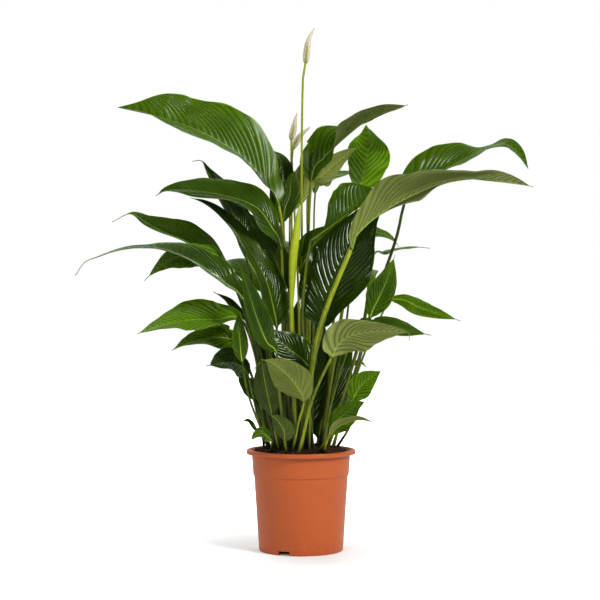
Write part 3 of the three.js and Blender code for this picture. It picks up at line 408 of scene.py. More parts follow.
def smooth_line(stations, first, last, steps):
    """Points spaced evenly by length along the smooth curve from one station to another."""
    places = np.array([2 * stations[0] - stations[1], *stations, 2 * stations[-1] - stations[-2]])
    turn = np.linspace(first, last, CURVE_DIVISIONS * (last - first) + 1)

    def at(where):
        low = np.clip(np.floor(where).astype(int), 0, len(stations) - 2)
        u = (where - low)[:, None]
        a, b, c, d = (places[low + k] for k in range(4))
        bend, twist = 2 * a - 5 * b + 4 * c - d, 3 * b - a - 3 * c + d
        return 0.5 * (2 * b + (c - a) * u + bend * u**2 + twist * u**3)

    lengths = np.cumsum(np.r_[0, np.linalg.norm(np.diff(at(turn), axis=0), axis=1)])
    return at(np.interp(np.linspace(0, lengths[-1], steps + 1), lengths, turn)), lengths[-1]


def along(values, share):
    """The value at a share of the way along an evenly spaced list."""
    return np.interp(share, np.linspace(0, 1, np.size(values)), np.atleast_1d(values))


def sampled(table, share):
    """The rows of an evenly spaced table at shares of its length."""
    even = np.linspace(0, 1, len(table))
    return np.stack([np.interp(share, even, table[:, k]) for k in range(3)], -1)


def unit(vectors):
    """Vectors of length one."""
    return vectors / np.linalg.norm(vectors, axis=-1, keepdims=True)


def smoothstep(low, high, value):
    """Zero below low, one above high, and smooth between them."""
    t = np.clip((value - low) / (high - low), 0, 1)
    return t * t * (3 - 2 * t)


def directions(line, side, roll):
    """Across the leaf towards its uppermost edge, and out of its upper face, all along a line."""
    tangent = unit(np.gradient(line, axis=0))
    if side == AWAY:
        upward = np.tile([0.0, 0.0, 1.0], (len(line), 1))
    else:
        upward = unit(np.stack([side * tangent[:, 2], 0 * tangent[:, 2], -side * tangent[:, 0]], -1))
    turn = np.radians(roll)[:, None]
    facing = np.array([0.0, -1.0, 0.0]) * np.cos(turn) + upward * np.sin(turn)
    edge = unit(np.cross(tangent, facing))
    face = np.cross(edge, tangent)
    return (-edge if side == RIGHT else edge), face


# ---- meshes

def ring_faces(rings, corners):
    """Quads between rings of corners, with both ends closed across from row to row."""
    start = np.arange(rings - 1)[:, None] * corners
    a = start + np.arange(corners)[None, :]
    b = start + np.roll(np.arange(corners), -1)[None, :]
    walls = np.stack([a, b, b + corners, a + corners], -1).reshape(-1, 4)
    low = np.arange(corners // 2 - 1)
    high = corners - 1 - low
    last = (rings - 1) * corners
    foot = np.stack([low, high, high - 1, low + 1], -1)
    tip = np.stack([last + low, last + low + 1, last + high - 1, last + high], -1)
    return np.concatenate([walls, foot, tip])


def mesh_object(name, points, faces, smooth=True):
    """A new object in the scene from arrays of places, in metres, and corner numbers."""
    mesh = bpy.data.meshes.new(name)
    mesh.from_pydata(points.tolist(), [], faces.tolist())
    mesh.polygons.foreach_set("use_smooth", [smooth] * len(faces))
    thing = bpy.data.objects.new(name, mesh)
    bpy.context.collection.objects.link(thing)
    return thing


def put_attribute(thing, name, kind, domain, values):
    """Stores one value for each point or face under a name that trees and materials read."""
    field = "vector" if kind == "FLOAT_VECTOR" else "value"
    layer = thing.data.attributes.new(name, kind, domain)
    layer.data.foreach_set(field, np.ascontiguousarray(values).ravel())


def turned_inside_out(thing):
    """Whether a closed mesh's faces point inwards."""
    thing.data.calc_loop_triangles()
    co = np.array([v.co for v in thing.data.vertices])
    a, b, c = (co[np.array([t.vertices[k] for t in thing.data.loop_triangles])] for k in range(3))
    return np.einsum("ij,ij->i", a, np.cross(b, c)).sum() < 0


def finished(thing, node):
    """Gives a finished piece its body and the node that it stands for."""
    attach(thing, "root")
    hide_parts(node)
    return thing


def baked(thing):
    """The same object with its modifiers turned into a plain mesh."""
    graph = bpy.context.evaluated_depsgraph_get()
    mesh = bpy.data.meshes.new_from_object(thing.evaluated_get(graph), preserve_all_data_layers=True,
                                           depsgraph=graph)
    old = thing.data
    thing.modifiers.clear()
    thing.data = mesh
    bpy.data.meshes.remove(old)
    mesh.name = thing.name
    return thing


# ---- node trees

class Tree:
    """Short ways to fill a node tree."""

    def __init__(self, nodes):
        self.nodes = nodes
        nodes.nodes.clear()

    def add(self, kind, inputs=None, **settings):
        """A node with its settings and inputs, where an input may be a socket or a value."""
        made = self.nodes.nodes.new(kind)
        for name, value in settings.items():
            setattr(made, name, value)
        for key, value in (inputs or {}).items():
            if isinstance(value, bpy.types.NodeSocket):
                self.nodes.links.new(value, made.inputs[key])
            else:
                made.inputs[key].default_value = value
        return made

    def math(self, operation, first, second=0.0):
        """A sum, product or other function of numbers."""
        return self.add("ShaderNodeMath", {0: first, 1: second}, operation=operation).outputs[0]

    def plus(self, first, second):
        """The sum of two numbers."""
        return self.math("ADD", first, second)

    def minus(self, first, second):
        """One number less another."""
        return self.math("SUBTRACT", first, second)

    def times(self, first, second):
        """The product of two numbers."""
        return self.math("MULTIPLY", first, second)

    def opposite(self, share):
        """One less a share."""
        return self.math("SUBTRACT", 1.0, share)

    def ramp(self, share, low, high):
        """A straight run from one value to another as a share goes from nought to one."""
        return self.plus(low, self.times(share, high - low))

    def wander(self, value, noise, width):
        """A value moved up and down by noise."""
        return self.plus(value, self.times(self.minus(noise, 0.5), width))

    def wave(self, value):
        """Nought at every whole number, and one midway between two."""
        return self.math("ABSOLUTE", self.math("SINE", self.times(value, math.pi)))

    def fade(self, value, low, high):
        """A smooth rise from nought to one between two values."""
        made = self.add("ShaderNodeMapRange", {0: value, 1: low, 2: high}, interpolation_type="SMOOTHSTEP")
        return made.outputs[0]

    def mix(self, share, first, second):
        """A colour between two others."""
        return self.add("ShaderNodeMix", {0: share, 6: first, 7: second}, data_type="RGBA").outputs[2]

    def value_of(self, name):
        """A number stored on the mesh."""
        return self.add("ShaderNodeAttribute", attribute_name=name).outputs["Fac"]

    def height(self):
        """How far a point stands above the floor, in metres."""
        place = self.add("ShaderNodeTexCoord").outputs["Object"]
        return self.add("ShaderNodeSeparateXYZ", {0: place}).outputs[2]

    def noise(self, scale, detail=3.0, roughness=0.5, stretch=None):
        """Noise in the object's own space, with its size given in metres."""
        place = self.add("ShaderNodeTexCoord").outputs["Object"]
        if stretch:
            place = self.add("ShaderNodeMapping", {0: place, 3: stretch}).outputs[0]
        inputs = {"Vector": place, "Scale": 1 / scale, "Detail": detail, "Roughness": roughness}
        return self.add("ShaderNodeTexNoise", inputs).outputs["Fac"]

    def bump(self, height, distance, strength=1.0, normal=None):
        """A bent normal for a height in metres."""
        inputs = {"Height": height, "Distance": distance, "Strength": strength}
        if normal:
            inputs["Normal"] = normal
        return self.add("ShaderNodeBump", inputs).outputs[0]


def new_material(name):
    """An empty node material and its tree."""
    material = bpy.data.materials.new(name)
    material.use_nodes = True
    return material, Tree(material.node_tree)


def rgba(colour, scale=1.0):
    """A colour property as a node wants it."""
    return (colour[0] * scale, colour[1] * scale, colour[2] * scale, 1.0)


# ---- leaf materials

def midrib_share(tree, low=0.55, high=1.1):
    """One on the midrib, and nought past its edge."""
    away = tree.math("ABSOLUTE", tree.value_of("rib_reach"))
    return tree.opposite(tree.fade(away, low, high))


def vein_share(tree, narrow):
    """One along each lateral vein, and nought midway between two."""
    return tree.opposite(tree.math("POWER", tree.wave(tree.value_of("vein")), narrow))


def veinlets(tree, count):
    """Fine lines that run between the lateral veins."""
    phase = tree.times(tree.value_of("vein"), 2 * math.pi * count)
    wobble = tree.times(tree.noise(0.025, 2.0), 3.0)
    return tree.math("SINE", tree.plus(phase, wobble))


def leaf_shader(tree, colour, glow, roughness, normal, gloss, through, bloom=0.0):
    """A glossy leaf surface that lets some light through, with a pale bloom seen aslant."""
    surface = tree.add("ShaderNodeBsdfPrincipled", {
        "Base Color": colour, "Roughness": roughness, "Normal": normal,
        "Specular IOR Level": gloss, "IOR": 1.45, "Sheen Weight": bloom, "Sheen Roughness": 0.4,
        "Sheen Tint": (0.85, 1.0, 0.8, 1.0)})
    light = tree.add("ShaderNodeBsdfTranslucent", {"Color": glow, "Normal": normal})
    mixed = tree.add("ShaderNodeMixShader", {0: through, 1: surface.outputs[0], 2: light.outputs[0]})
    tree.add("ShaderNodeOutputMaterial", {0: mixed.outputs[0]})


def upper_material(looks):
    """The glossy upper face: green, darker along its veins as painted shade in their grooves, with a
    yellow-green midrib.
    """
    material, tree = new_material("leaf_upper")
    # the tone is partly painted light and shade: leaves in shade darker, lit leaves brighter
    tone = tree.value_of("tone")
    patches = tree.noise(0.035, 4.0, 0.6)
    lift = tree.math("MAXIMUM", tree.wander(tone, patches, 0.45), 0.0)
    green = tree.mix(lift, rgba(looks.upper_dark), rgba(looks.upper_bright))
    # painted shade: the green darkens along the sunken veins as though shade lay in their grooves
    veins = tree.times(vein_share(tree, 0.5), 0.8)
    green = tree.mix(veins, green, rgba(looks.upper_dark))
    fine = tree.fade(veinlets(tree, 4), -1.0, 1.0)
    green = tree.mix(tree.times(fine, 0.16), green, rgba(looks.upper_bright, 1.2))
    edge = tree.fade(tree.math("ABSOLUTE", tree.value_of("reach")), 0.965, 0.995)
    green = tree.mix(tree.times(edge, 0.6), green, rgba(looks.upper_bright))
    near = tree.opposite(tree.fade(tree.value_of("along"), 0.05, 0.8))
    bright = tree.times(tree.ramp(near, 0.25, 0.95), tree.ramp(tree.fade(tone, 0.0, 0.14), 0.35, 1.0))
    rib = tree.times(midrib_share(tree), bright)
    colour = tree.mix(rib, green, rgba(looks.rib))
    glow = tree.mix(0.5, colour, rgba(looks.glow))
    dull = tree.fade(tone, 0.02, 0.26)
    rough = tree.plus(tree.ramp(tree.noise(0.012, 3.0), 0.1, 0.24), tree.times(dull, 0.1))
    gloss = tree.ramp(dull, 0.5, 0.25)
    normal = tree.bump(veinlets(tree, 3), 0.000006)
    leaf_shader(tree, colour, glow, rough, normal, gloss, 0.14, tree.value_of("bloom"))
    return material


def under_material(looks):
    """The dull, paler under face, with its veins and midrib raised."""
    material, tree = new_material("leaf_under")
    # the tone is partly painted light and shade: leaves in shade darker, lit leaves brighter
    tone = tree.value_of("tone")
    patches = tree.noise(0.03, 4.0, 0.6)
    lift = tree.math("MAXIMUM", tree.wander(tone, patches, 0.4), 0.0)
    green = tree.mix(lift, rgba(looks.under_dark), rgba(looks.under_bright))
    bloom = tree.value_of("bloom")
    strong = tree.plus(tree.ramp(tree.fade(tone, 0.45, 0.75), 0.12, 0.52), tree.times(bloom, 0.6))
    veins = tree.times(vein_share(tree, 0.8), strong)
    green = tree.mix(veins, green, rgba(looks.under_dark))
    rib = tree.times(midrib_share(tree, 0.5, 0.95), 0.8)
    colour = tree.mix(rib, green, rgba(looks.rib, 0.85))
    glow = tree.mix(0.5, colour, rgba(looks.glow))
    rough = tree.ramp(tree.noise(0.01, 3.0), 0.42, 0.58)
    normal = tree.bump(veinlets(tree, 3), 0.00005)
    normal = tree.bump(tree.noise(0.0009, 2.0), 0.00015, 0.6, normal)
    leaf_shader(tree, colour, glow, rough, normal, 0.3, 0.12, bloom)
    return material


def stalk_material(name, looks):
    """A smooth ribbed stalk, paler at its foot, with fine lengthwise lines and painted shade where other
    stalks crowd round it.
    """
    material, tree = new_material(name)
    # the tone is partly painted shade: stalks deep in the clump are darker
    tone = tree.value_of("tone")
    foot = tree.opposite(tree.fade(tree.height(), 0.155, 0.24))
    mottle = tree.noise(0.004, 3.0, 0.6, (1.0, 1.0, 0.08))
    lift = tree.plus(tree.wander(tone, mottle, 0.9), tree.times(foot, 0.3))
    colour = tree.mix(tree.math("MAXIMUM", lift, 0.0), rgba(looks.stalk_dark), rgba(looks.stalk_bright))
    # painted shade: the colour darkens where nearby stalks and leaves close in round a point
    painted_shade_between_stalks = tree.add("ShaderNodeAmbientOcclusion", {"Distance": 0.06}).outputs["AO"]
    colour = tree.mix(tree.fade(painted_shade_between_stalks, 0.25, 0.8), rgba(looks.stalk_dark, 0.4), colour)
    lines = tree.math("SINE", tree.times(tree.value_of("reach"), 40.0))
    normal = tree.bump(lines, 0.00006)
    normal = tree.bump(mottle, 0.0002, 0.6, normal)
    leaf_shader(tree, colour, rgba(looks.glow), 0.3, normal, 0.5, 0.08)
    return material


def rolled_material(looks):
    """The pale yellow-green back of a leaf that is still rolled up."""
    material, tree = new_material("leaf_rolled")
    green = tree.mix(tree.noise(0.01, 3.0), rgba(looks.stalk_bright, 0.95), rgba(looks.stalk_bright, 1.3))
    veins = tree.times(vein_share(tree, 0.6), tree.value_of("body"))
    green = tree.mix(tree.times(veins, 0.4), green, rgba(looks.upper_bright, 0.7))
    colour = tree.mix(midrib_share(tree, 0.3, 1.0), green, rgba(looks.rib, 1.2))
    normal = tree.bump(tree.noise(0.0012, 2.0), 0.00008)
    leaf_shader(tree, colour, rgba(looks.glow), 0.36, normal, 0.4, 0.2)
    return material


def spathe_material(looks):
    """The thin cream spathe, green along its midrib and at its tip."""
    material, tree = new_material("spathe_cream")
    share = tree.value_of("along")
    away = tree.math("ABSOLUTE", tree.value_of("reach"))
    line = tree.opposite(tree.fade(away, 0.05, 0.2))
    line = tree.times(line, tree.opposite(tree.fade(share, 0.3, 0.75)))
    foot = tree.opposite(tree.fade(share, 0.0, 0.12))
    green = tree.math("MAXIMUM", line, foot)
    patches = tree.noise(0.006, 3.0, 0.5, (1.0, 1.0, 0.3))
    cream = tree.mix(patches, rgba(looks.cream), rgba(looks.cream, 0.82))
    tip = tree.times(tree.fade(share, 0.75, 1.0), 0.35)
    cream = tree.mix(tip, cream, rgba(looks.rib))
    colour = tree.mix(green, cream, rgba(looks.rib, 0.7))
    lines = tree.math("SINE", tree.times(tree.value_of("reach"), 24.0))
    normal = tree.bump(lines, 0.00002)
    leaf_shader(tree, colour, rgba(looks.cream), 0.45, normal, 0.3, 0.45)
    return material


# ---- leaves

def rib_tree(name, materials):
    """Raises the lateral ribs of a leaf along the direction stored on it, and dresses its parts."""
    tree = bpy.data.node_groups.new(name, "GeometryNodeTree")
    sockets = {}
    for label, kind in (("Geometry", "Geometry"), ("Rib depth", "Float"), ("Rib roundness", "Float")):
        sockets[label] = tree.interface.new_socket(label, in_out="INPUT", socket_type="NodeSocket" + kind)
    tree.interface.new_socket("Geometry", in_out="OUTPUT", socket_type="NodeSocketGeometry")
    work = Tree(tree)
    source = work.add("NodeGroupInput")

    def stored(label, data_type="FLOAT"):
        return work.add("GeometryNodeInputNamedAttribute", {0: label}, data_type=data_type).outputs[0]

    wave = work.math("POWER", work.wave(stored("vein")), source.outputs["Rib roundness"])
    height = work.times(work.minus(wave, RIB_MIDDLE), stored("body"))
    height = work.times(height, source.outputs["Rib depth"])
    offset = work.add("ShaderNodeVectorMath", {0: stored("facing", "FLOAT_VECTOR"), 3: height},
                      operation="SCALE")
    moved = work.add("GeometryNodeSetPosition", {0: source.outputs["Geometry"], 3: offset.outputs[0]})
    geometry = work.add("GeometryNodeRealizeInstances", {0: moved.outputs[0]}).outputs[0]
    for part, material in materials.items():
        chosen = work.add("FunctionNodeCompare", {2: stored("part", "INT"), 3: part}, data_type="INT",
                          operation="EQUAL")
        inputs = {0: geometry, 1: chosen.outputs[0], 2: material}
        geometry = work.add("GeometryNodeSetMaterial", inputs).outputs[0]
    work.add("NodeGroupOutput", {0: geometry})
    return tree, sockets


def outline(shape, share):
    """Half the blade's width as a share of the widest."""
    reach = np.clip(share / (1 - shape.tail), 0, 1)
    return np.abs(np.sin(np.pi * reach ** (np.log(0.5) / np.log(shape.peak)))) ** shape.point


def round_corners(corners):
    """The angles of the corners of a round ring: one row on its upper half, and one on its lower."""
    row = np.linspace(-1, 1, corners // 2) * ROW_END
    return np.r_[row, np.pi - row]


def corner_spread(half_corners):
    """Where a row's corners stand: a few on the midrib, and the rest spread to the margin."""
    rib = np.r_[RIB_CORNERS, np.full(half_corners - 4, RIB_EDGE)]
    rest = np.r_[np.zeros(3), np.linspace(0, 1, half_corners - 3)]
    return [np.r_[-half[:0:-1], half] for half in (rib, rest)]


def growth_line(shape, top):
    """The smooth lines from the compost to the neck and on to the tip, and the length of the second."""
    start = np.array([*shape.root, COLLAR_HEIGHT], float)
    stations = [start, *map(sight, shape.stem), *map(sight, top)]
    neck = 1 + len(shape.stem)
    stalk, _ = smooth_line(stations, 0, neck, FINE_STEPS // 4)
    blade, length = smooth_line(stations, neck, len(stations) - 1, FINE_STEPS)
    return stalk, blade, length


def section(shape, share, rib, rest, phase):
    """A blade's half widths and heights at each corner of its upper and lower rows."""
    spare = NECK_HALF_WIDTH * (1 - share) + TIP_HALF_WIDTH
    wide = shape.width / 2 * outline(shape, share) + spare
    rib_radius = shape.make.neck * RIB_SHARE * (1 - share) ** RIB_TAPER + RIB_TIP_RADIUS
    wide = np.maximum(wide, NARROWEST * rib_radius)
    ripple = 1 + RIPPLE_HEIGHT * np.sin(2 * np.pi * RIPPLES * share + phase) * np.abs(rest) ** 3
    x = (rib_radius * rib + (wide - RIB_EDGE * rib_radius) * rest) * ripple
    reach = x / wide
    fold = np.radians(along(shape.fold, share) - MARGIN_CURL * np.abs(reach) ** CURL_SPREAD)
    shift = 2 * np.pi * (WAVES * share + WAVE_SHIFT * (reach > 0)) + phase
    wave = WAVE_HEIGHT * np.sin(shift) + RIPPLE_HEIGHT * np.sin(RIPPLE_PACE * shift + phase)
    soft = rib_radius * FOLD_SOFTNESS
    lift = np.sqrt(x**2 + soft**2) - soft
    z = lift * np.sin(fold) + wide * wave * reach**2
    x = x * np.cos(fold)
    rounded = np.sqrt(np.clip(1 - (rib / RIB_EDGE) ** 2, 0, 1)) * (np.abs(rib) < RIB_EDGE)
    thick = BLADE_THICKNESS / 2 * (1 - MARGIN_THINNING * reach**4)
    groove = GROOVE_DEPTH * rib_radius * np.exp(-((rib / GROOVE_WIDTH) ** 2)) * (rest == 0)
    keel = KEEL_HEIGHT * rib_radius * rounded
    return x, z + thick - groove, z - thick - keel, reach, rib_body(shape, share, rest, wide)


def rib_body(shape, share, rest, wide):
    """How far the lateral ribs stand up. They fade at the midrib, the margin and both ends."""
    rest = np.abs(rest)
    body = smoothstep(*RIBS_FROM_MIDRIB, rest) * (1 - smoothstep(*RIBS_TO_MARGIN, rest))
    body = body * np.clip(2 * wide / shape.width, 0, 1) ** 1.5
    return body * smoothstep(*RIBS_FROM_NECK, share) * (1 - smoothstep(*RIBS_TO_TIP, share))


def blade_rings(shape, line, length, phase):
    """The corners of a blade, ring by ring. Each ring runs out along a pair of lateral veins."""
    veins = max(round(length / (VEIN_SPACING + VEIN_SPACING_GROWTH * shape.width)), FEWEST_VEINS)
    turn = np.linspace(0, 1, veins * RINGS_PER_VEIN + 1)[1:, None]
    rib, rest = corner_spread(shape.make.half_corners)
    most_lean = turn * (1 - turn) ** 2 * 27 / 4  # this is 1 a third of the way up
    share = turn + VEIN_LEAN * np.abs(rest) ** VEIN_BEND * most_lean
    edge, face = directions(line, shape.side, along(shape.roll, np.linspace(0, 1, len(line))))
    centre, edge, face = sampled(line, share), unit(sampled(edge, share)), unit(sampled(face, share))
    x, upper, lower, reach, body = section(shape, share, rib, rest, phase)
    turned = np.linspace(-1, 1, rib.size) * ROW_END
    radius = shape.make.neck
    grown = smoothstep(0, NECK_BLEND, share)
    x = radius * np.sin(turned) * (1 - grown) + x * grown
    upper = radius * np.cos(turned) * (1 - grown) + upper * grown
    lower = -radius * np.cos(turned) * (1 - grown) + lower * grown
    rows = [centre + edge * x[..., None] + face * row[..., None] for row in (upper, lower)]
    vein = np.broadcast_to(turn * veins, share.shape)
    rib_reach = np.where(rest == 0, rib, np.sign(rest) * (RIB_EDGE + PAST_RIB * np.abs(rest)))
    values = dict(vein=vein, reach=reach, body=body, along=share,
                  rib_reach=np.broadcast_to(rib_reach, share.shape), facing=face)
    points = np.concatenate([rows[0], rows[1][:, ::-1]], 1)
    return points, {k: np.concatenate([v, v[:, ::-1]], 1) for k, v in values.items()}


def rolled_rings(shape, line, length, _):
    """The corners of a blade still rolled round itself, with its seam on the left."""
    turn = np.linspace(0, 1, ROLLED_RINGS + 1)[1:, None]
    corners = 2 * (2 * shape.make.half_corners - 1)
    around = round_corners(corners)[None, :]
    edge, face = directions(line, shape.side, np.zeros(len(line)))
    core = shape.make.neck + (TIP_HALF_WIDTH - shape.make.neck) * turn
    radius = core + np.maximum(shape.width / 2 - core, 0) * outline(shape, turn)
    wound = ((around - SEAM_ANGLE) / (2 * np.pi) - SEAM_TURNS * turn) % 1
    radius = radius * (ROLL_INSIDE + ROLL_LAP * wound * smoothstep(0, ROLL_START, turn))
    edge, face = unit(sampled(edge, turn)), unit(sampled(face, turn))
    outward = edge * np.sin(around)[..., None] + face * np.cos(around)[..., None]
    reach = 2 * wound - 1
    vein = turn * length / ROLLED_RIB_SPACING + ROLLED_RIB_SLANT * wound
    body = smoothstep(*ROLLED_RIBS_FROM, wound) * (1 - smoothstep(*ROLLED_RIBS_TO, wound))
    body = body * smoothstep(*ROLLED_RIBS_FROM_NECK, turn)
    share = np.broadcast_to(turn, wound.shape)
    rib_reach = ROLLED_MIDRIB_SPREAD * (wound - ROLLED_MIDRIB)
    values = dict(vein=vein, reach=reach, body=body, along=share, rib_reach=rib_reach, facing=outward)
    return sampled(line, turn) + outward * radius[..., None], values


def stalk_rings(shape, line, corners):
    """The corners of a round stalk, from inside the compost up to the neck."""
    foot = np.array([[*shape.root, ROOT_HEIGHT]], float)
    picked = line[np.linspace(0, len(line) - 1, STALK_RINGS).round().astype(int)]
    edge, face = directions(picked, shape.side, np.full(STALK_RINGS, along(shape.roll, 0.0)))
    share = np.linspace(0, 1, STALK_RINGS)[:, None]
    radius = shape.make.foot + (shape.make.neck - shape.make.foot) * share
    turned = round_corners(corners)[None, :, None]
    ring = edge[:, None] * np.sin(turned) + face[:, None] * np.cos(turned)
    points = picked[:, None] + ring * radius[..., None]
    below = foot[:, None] + ring[:1] * radius[0, 0]
    return np.concatenate([below, points])


def leaf_mesh(name, shape, phase):
    """A leaf as one closed skin, with the values that its ribs and its materials need."""
    stalk_line, blade_line, length = growth_line(shape, shape.blade)
    make_rings = rolled_rings if shape.rolled else blade_rings
    blade, values = make_rings(shape, blade_line, length, phase)
    corners = blade.shape[1]
    stalk = stalk_rings(shape, stalk_line, corners)
    points = np.concatenate([stalk, blade])
    rings = len(points)
    faces = ring_faces(rings, corners)
    if shape.side == RIGHT:
        faces = faces[:, ::-1]
    thing = mesh_object(name, points.reshape(-1, 3) * MM, faces)
    put_leaf_values(thing, shape, stalk, values)
    put_attribute(thing, "part", "INT", "FACE", leaf_parts(shape, rings, corners, len(stalk), len(faces)))
    return thing


def put_leaf_values(thing, shape, stalk, values):
    """Stores what the ribs and the materials read at each corner of the stalk and the blade."""
    around = np.broadcast_to(np.linspace(-1, 1, stalk.shape[1]), stalk.shape[:2])
    nought = 0 * around
    on_stalk = dict(reach=around, facing=np.zeros(stalk.shape))
    for key, on_blade in values.items():
        joined = np.concatenate([on_stalk.get(key, nought), on_blade]).astype(np.float32)
        put_attribute(thing, key, "FLOAT_VECTOR" if key == "facing" else "FLOAT", "POINT", joined)
    # painted light and shade: the tones also darken blades and stalks that stand in shade and brighten lit
    # ones
    tones = [nought + shape.stalk_tone, 0 * values["vein"] + shape.tone]
    put_attribute(thing, "tone", "FLOAT", "POINT", np.concatenate(tones).astype(np.float32))
    bloom = np.full(len(thing.data.vertices), shape.bloom, np.float32)
    put_attribute(thing, "bloom", "FLOAT", "POINT", bloom)


def leaf_parts(shape, rings, corners, on_stalk, face_count):
    """Which part each face belongs to. Faces that close an end belong to the stalk."""
    on_upper = np.arange(corners) < corners // 2 - 1
    row = np.full(corners, ROLLED) if shape.rolled else np.where(on_upper, UPPER, UNDER)
    part = np.broadcast_to(row, (rings - 1, corners)).copy()
    part[:on_stalk] = STALK
    return np.r_[part.ravel(), np.full(face_count - part.size, STALK)].astype(np.int32)


def grow_leaves(looks):
    """Every leaf, ribbed and dressed."""
    materials = {UPPER: upper_material(looks), UNDER: under_material(looks),
                 STALK: stalk_material("leaf_stalk", looks), ROLLED: rolled_material(looks)}
    tree, sockets = rib_tree("leaf_ribs", materials)
    for index, shape in enumerate(LEAVES):
        thing = leaf_mesh("lily_" + shape.name, shape, WAVE_PHASE * index)
        ribs = thing.modifiers.new("ribs", "NODES")
        ribs.node_group = tree
        ribs[sockets["Rib depth"].identifier] = looks.rib_depth * math.sqrt(shape.width / FULL_RIB_WIDTH)
        ribs[sockets["Rib roundness"].identifier] = looks.rib_roundness
        baked(thing)
        thing.data.set_sharp_from_angle(angle=SHARP_FOLD)
        finished(thing, "leaf_" + shape.name)


# ---- flowers

def spathe_rings(shape, line):
    """A thin spathe furled round its own axis, with its midrib in front and its margins behind."""
    share = np.linspace(0, 1, SPATHE_RINGS + 1)
    centre = sampled(line, share)
    edge, face = directions(centre, RIGHT, 0 * share)
    swell = np.maximum(np.sin(np.pi * share**SPATHE_SKEW), 0)
    core = SPATHE_FOOT_RADIUS + (SPATHE_TIP_RADIUS - SPATHE_FOOT_RADIUS) * share
    radius = (core + (shape.width / 2 - SPATHE_FOOT_RADIUS) * swell)[:, None]
    reach = np.linspace(-1, 1, SPATHE_ROW)[None, :]
    outer = radius * (1 + SPATHE_FLARE * reach**2)
    inner = outer - np.minimum(SPATHE_THICKNESS, radius * 0.45)
    rows = []
    for skin in (outer, inner):
        x, z = skin * np.sin(reach * SPATHE_FURL), skin * np.cos(reach * SPATHE_FURL)
        rows.append(centre[:, None] + edge[:, None] * x[..., None] + face[:, None] * z[..., None])
    points = np.concatenate([rows[0], rows[1][:, ::-1]], 1)
    reach = np.broadcast_to(np.concatenate([reach, reach[:, ::-1]], 1), points.shape[:2])
    return points, reach, np.broadcast_to(share[:, None], points.shape[:2])


def ring_object(name, points, reach, share, tone, material):
    """An object from rings of corners, with the values that its material reads."""
    faces = ring_faces(*points.shape[:2])
    thing = mesh_object(name, points.reshape(-1, 3) * MM, faces)
    if turned_inside_out(thing):
        thing.data.flip_normals()
    put_attribute(thing, "reach", "FLOAT", "POINT", reach.astype(np.float32))
    put_attribute(thing, "along", "FLOAT", "POINT", share.astype(np.float32))
    put_attribute(thing, "tone", "FLOAT", "POINT", np.full(reach.shape, tone, np.float32))
    thing.data.materials.append(material)
    thing.data.set_sharp_from_angle(angle=SHARP_FOLD)
    return thing


def grow_flowers(looks):
    """Each flower's stalk and furled spathe."""
    stalk_green = stalk_material("flower_stalk_green", looks)
    cream = spathe_material(looks)
    for shape in FLOWERS:
        stem = SimpleNamespace(side=RIGHT, roll=0, root=shape.root, stem=shape.stem, make=FLOWER_STALK)
        stalk_line, spathe_line, _ = growth_line(stem, shape.spathe)
        rings = stalk_rings(stem, stalk_line, FLOWER_STALK_CORNERS)
        reach = np.broadcast_to(np.linspace(-1, 1, FLOWER_STALK_CORNERS), rings.shape[:2])
        share = np.broadcast_to(np.linspace(0, 1, len(rings))[:, None], rings.shape[:2])
        stalk = ring_object(f"lily_stalk_{shape.name}", rings, reach, share, 0.75, stalk_green)
        finished(stalk, f"flower_{shape.name}_stalk")
        points, reach, share = spathe_rings(shape, spathe_line)
        spathe = ring_object(f"lily_spathe_{shape.name}", points, reach, share, 0.5, cream)
        finished(spathe, f"flower_{shape.name}_spathe")


# ---- pot

def arc(centre, radius, first, last, steps=5):
    """Points of a rounded corner, from one angle to another, in degrees."""
    angles = np.radians(np.linspace(first, last, steps))
    return [(centre[0] + radius * math.cos(a), centre[1] + radius * math.sin(a)) for a in angles]


def pot_profile():
    """The pot's wall from the middle of its underside, up its outside and down its inside."""
    lip = POT_HEIGHT - LIP_HEIGHT
    slope = LEDGE_SLOPE
    return [
        (0.0, 0.0), (0.6 * BASE_RADIUS, 0.0), (0.62 * BASE_RADIUS, 1 * MM), (0.9 * BASE_RADIUS, 1 * MM),
        (0.92 * BASE_RADIUS, 0.0), (BASE_RADIUS - 2.2 * MM, 0.0),
        *arc((BASE_RADIUS - FOOT_ROUND, FOOT_ROUND), FOOT_ROUND, -80, 0),
        *[(BASE_RADIUS + (STEP_RADIUS - BASE_RADIUS) * t, STEP_HEIGHT * t) for t in (0.25, 0.5, 0.75)],
        (STEP_RADIUS, STEP_HEIGHT - slope), *arc((BAND_LOW_RADIUS - slope, STEP_HEIGHT), slope, -60, 0, 4),
        (BAND_LOW_RADIUS + 0.3 * (BAND_TOP_RADIUS - BAND_LOW_RADIUS), STEP_HEIGHT + 10 * MM),
        (BAND_TOP_RADIUS, lip - 0.5 * MM), (BAND_TOP_RADIUS + 0.5 * MM, lip),
        *arc((RIM_RADIUS - LIP_UNDER_ROUND, lip + LIP_UNDER_ROUND), LIP_UNDER_ROUND, -90, 0),
        *arc((RIM_RADIUS - LIP_TOP_ROUND, POT_HEIGHT - LIP_TOP_ROUND), LIP_TOP_ROUND, 0, 90),
        *arc((MOUTH_RADIUS + MOUTH_ROUND, POT_HEIGHT - MOUTH_ROUND), MOUTH_ROUND, 90, 170),
        (BAND_TOP_RADIUS - WALL, POT_HEIGHT - 4 * MM), (BAND_LOW_RADIUS - WALL, STEP_HEIGHT + slope),
        (STEP_RADIUS - WALL, STEP_HEIGHT - slope), (BASE_RADIUS - WALL, FLOOR_THICKNESS + 2 * MM),
        (BASE_RADIUS - WALL - 2 * MM, FLOOR_THICKNESS), (0.0, FLOOR_THICKNESS),
    ]


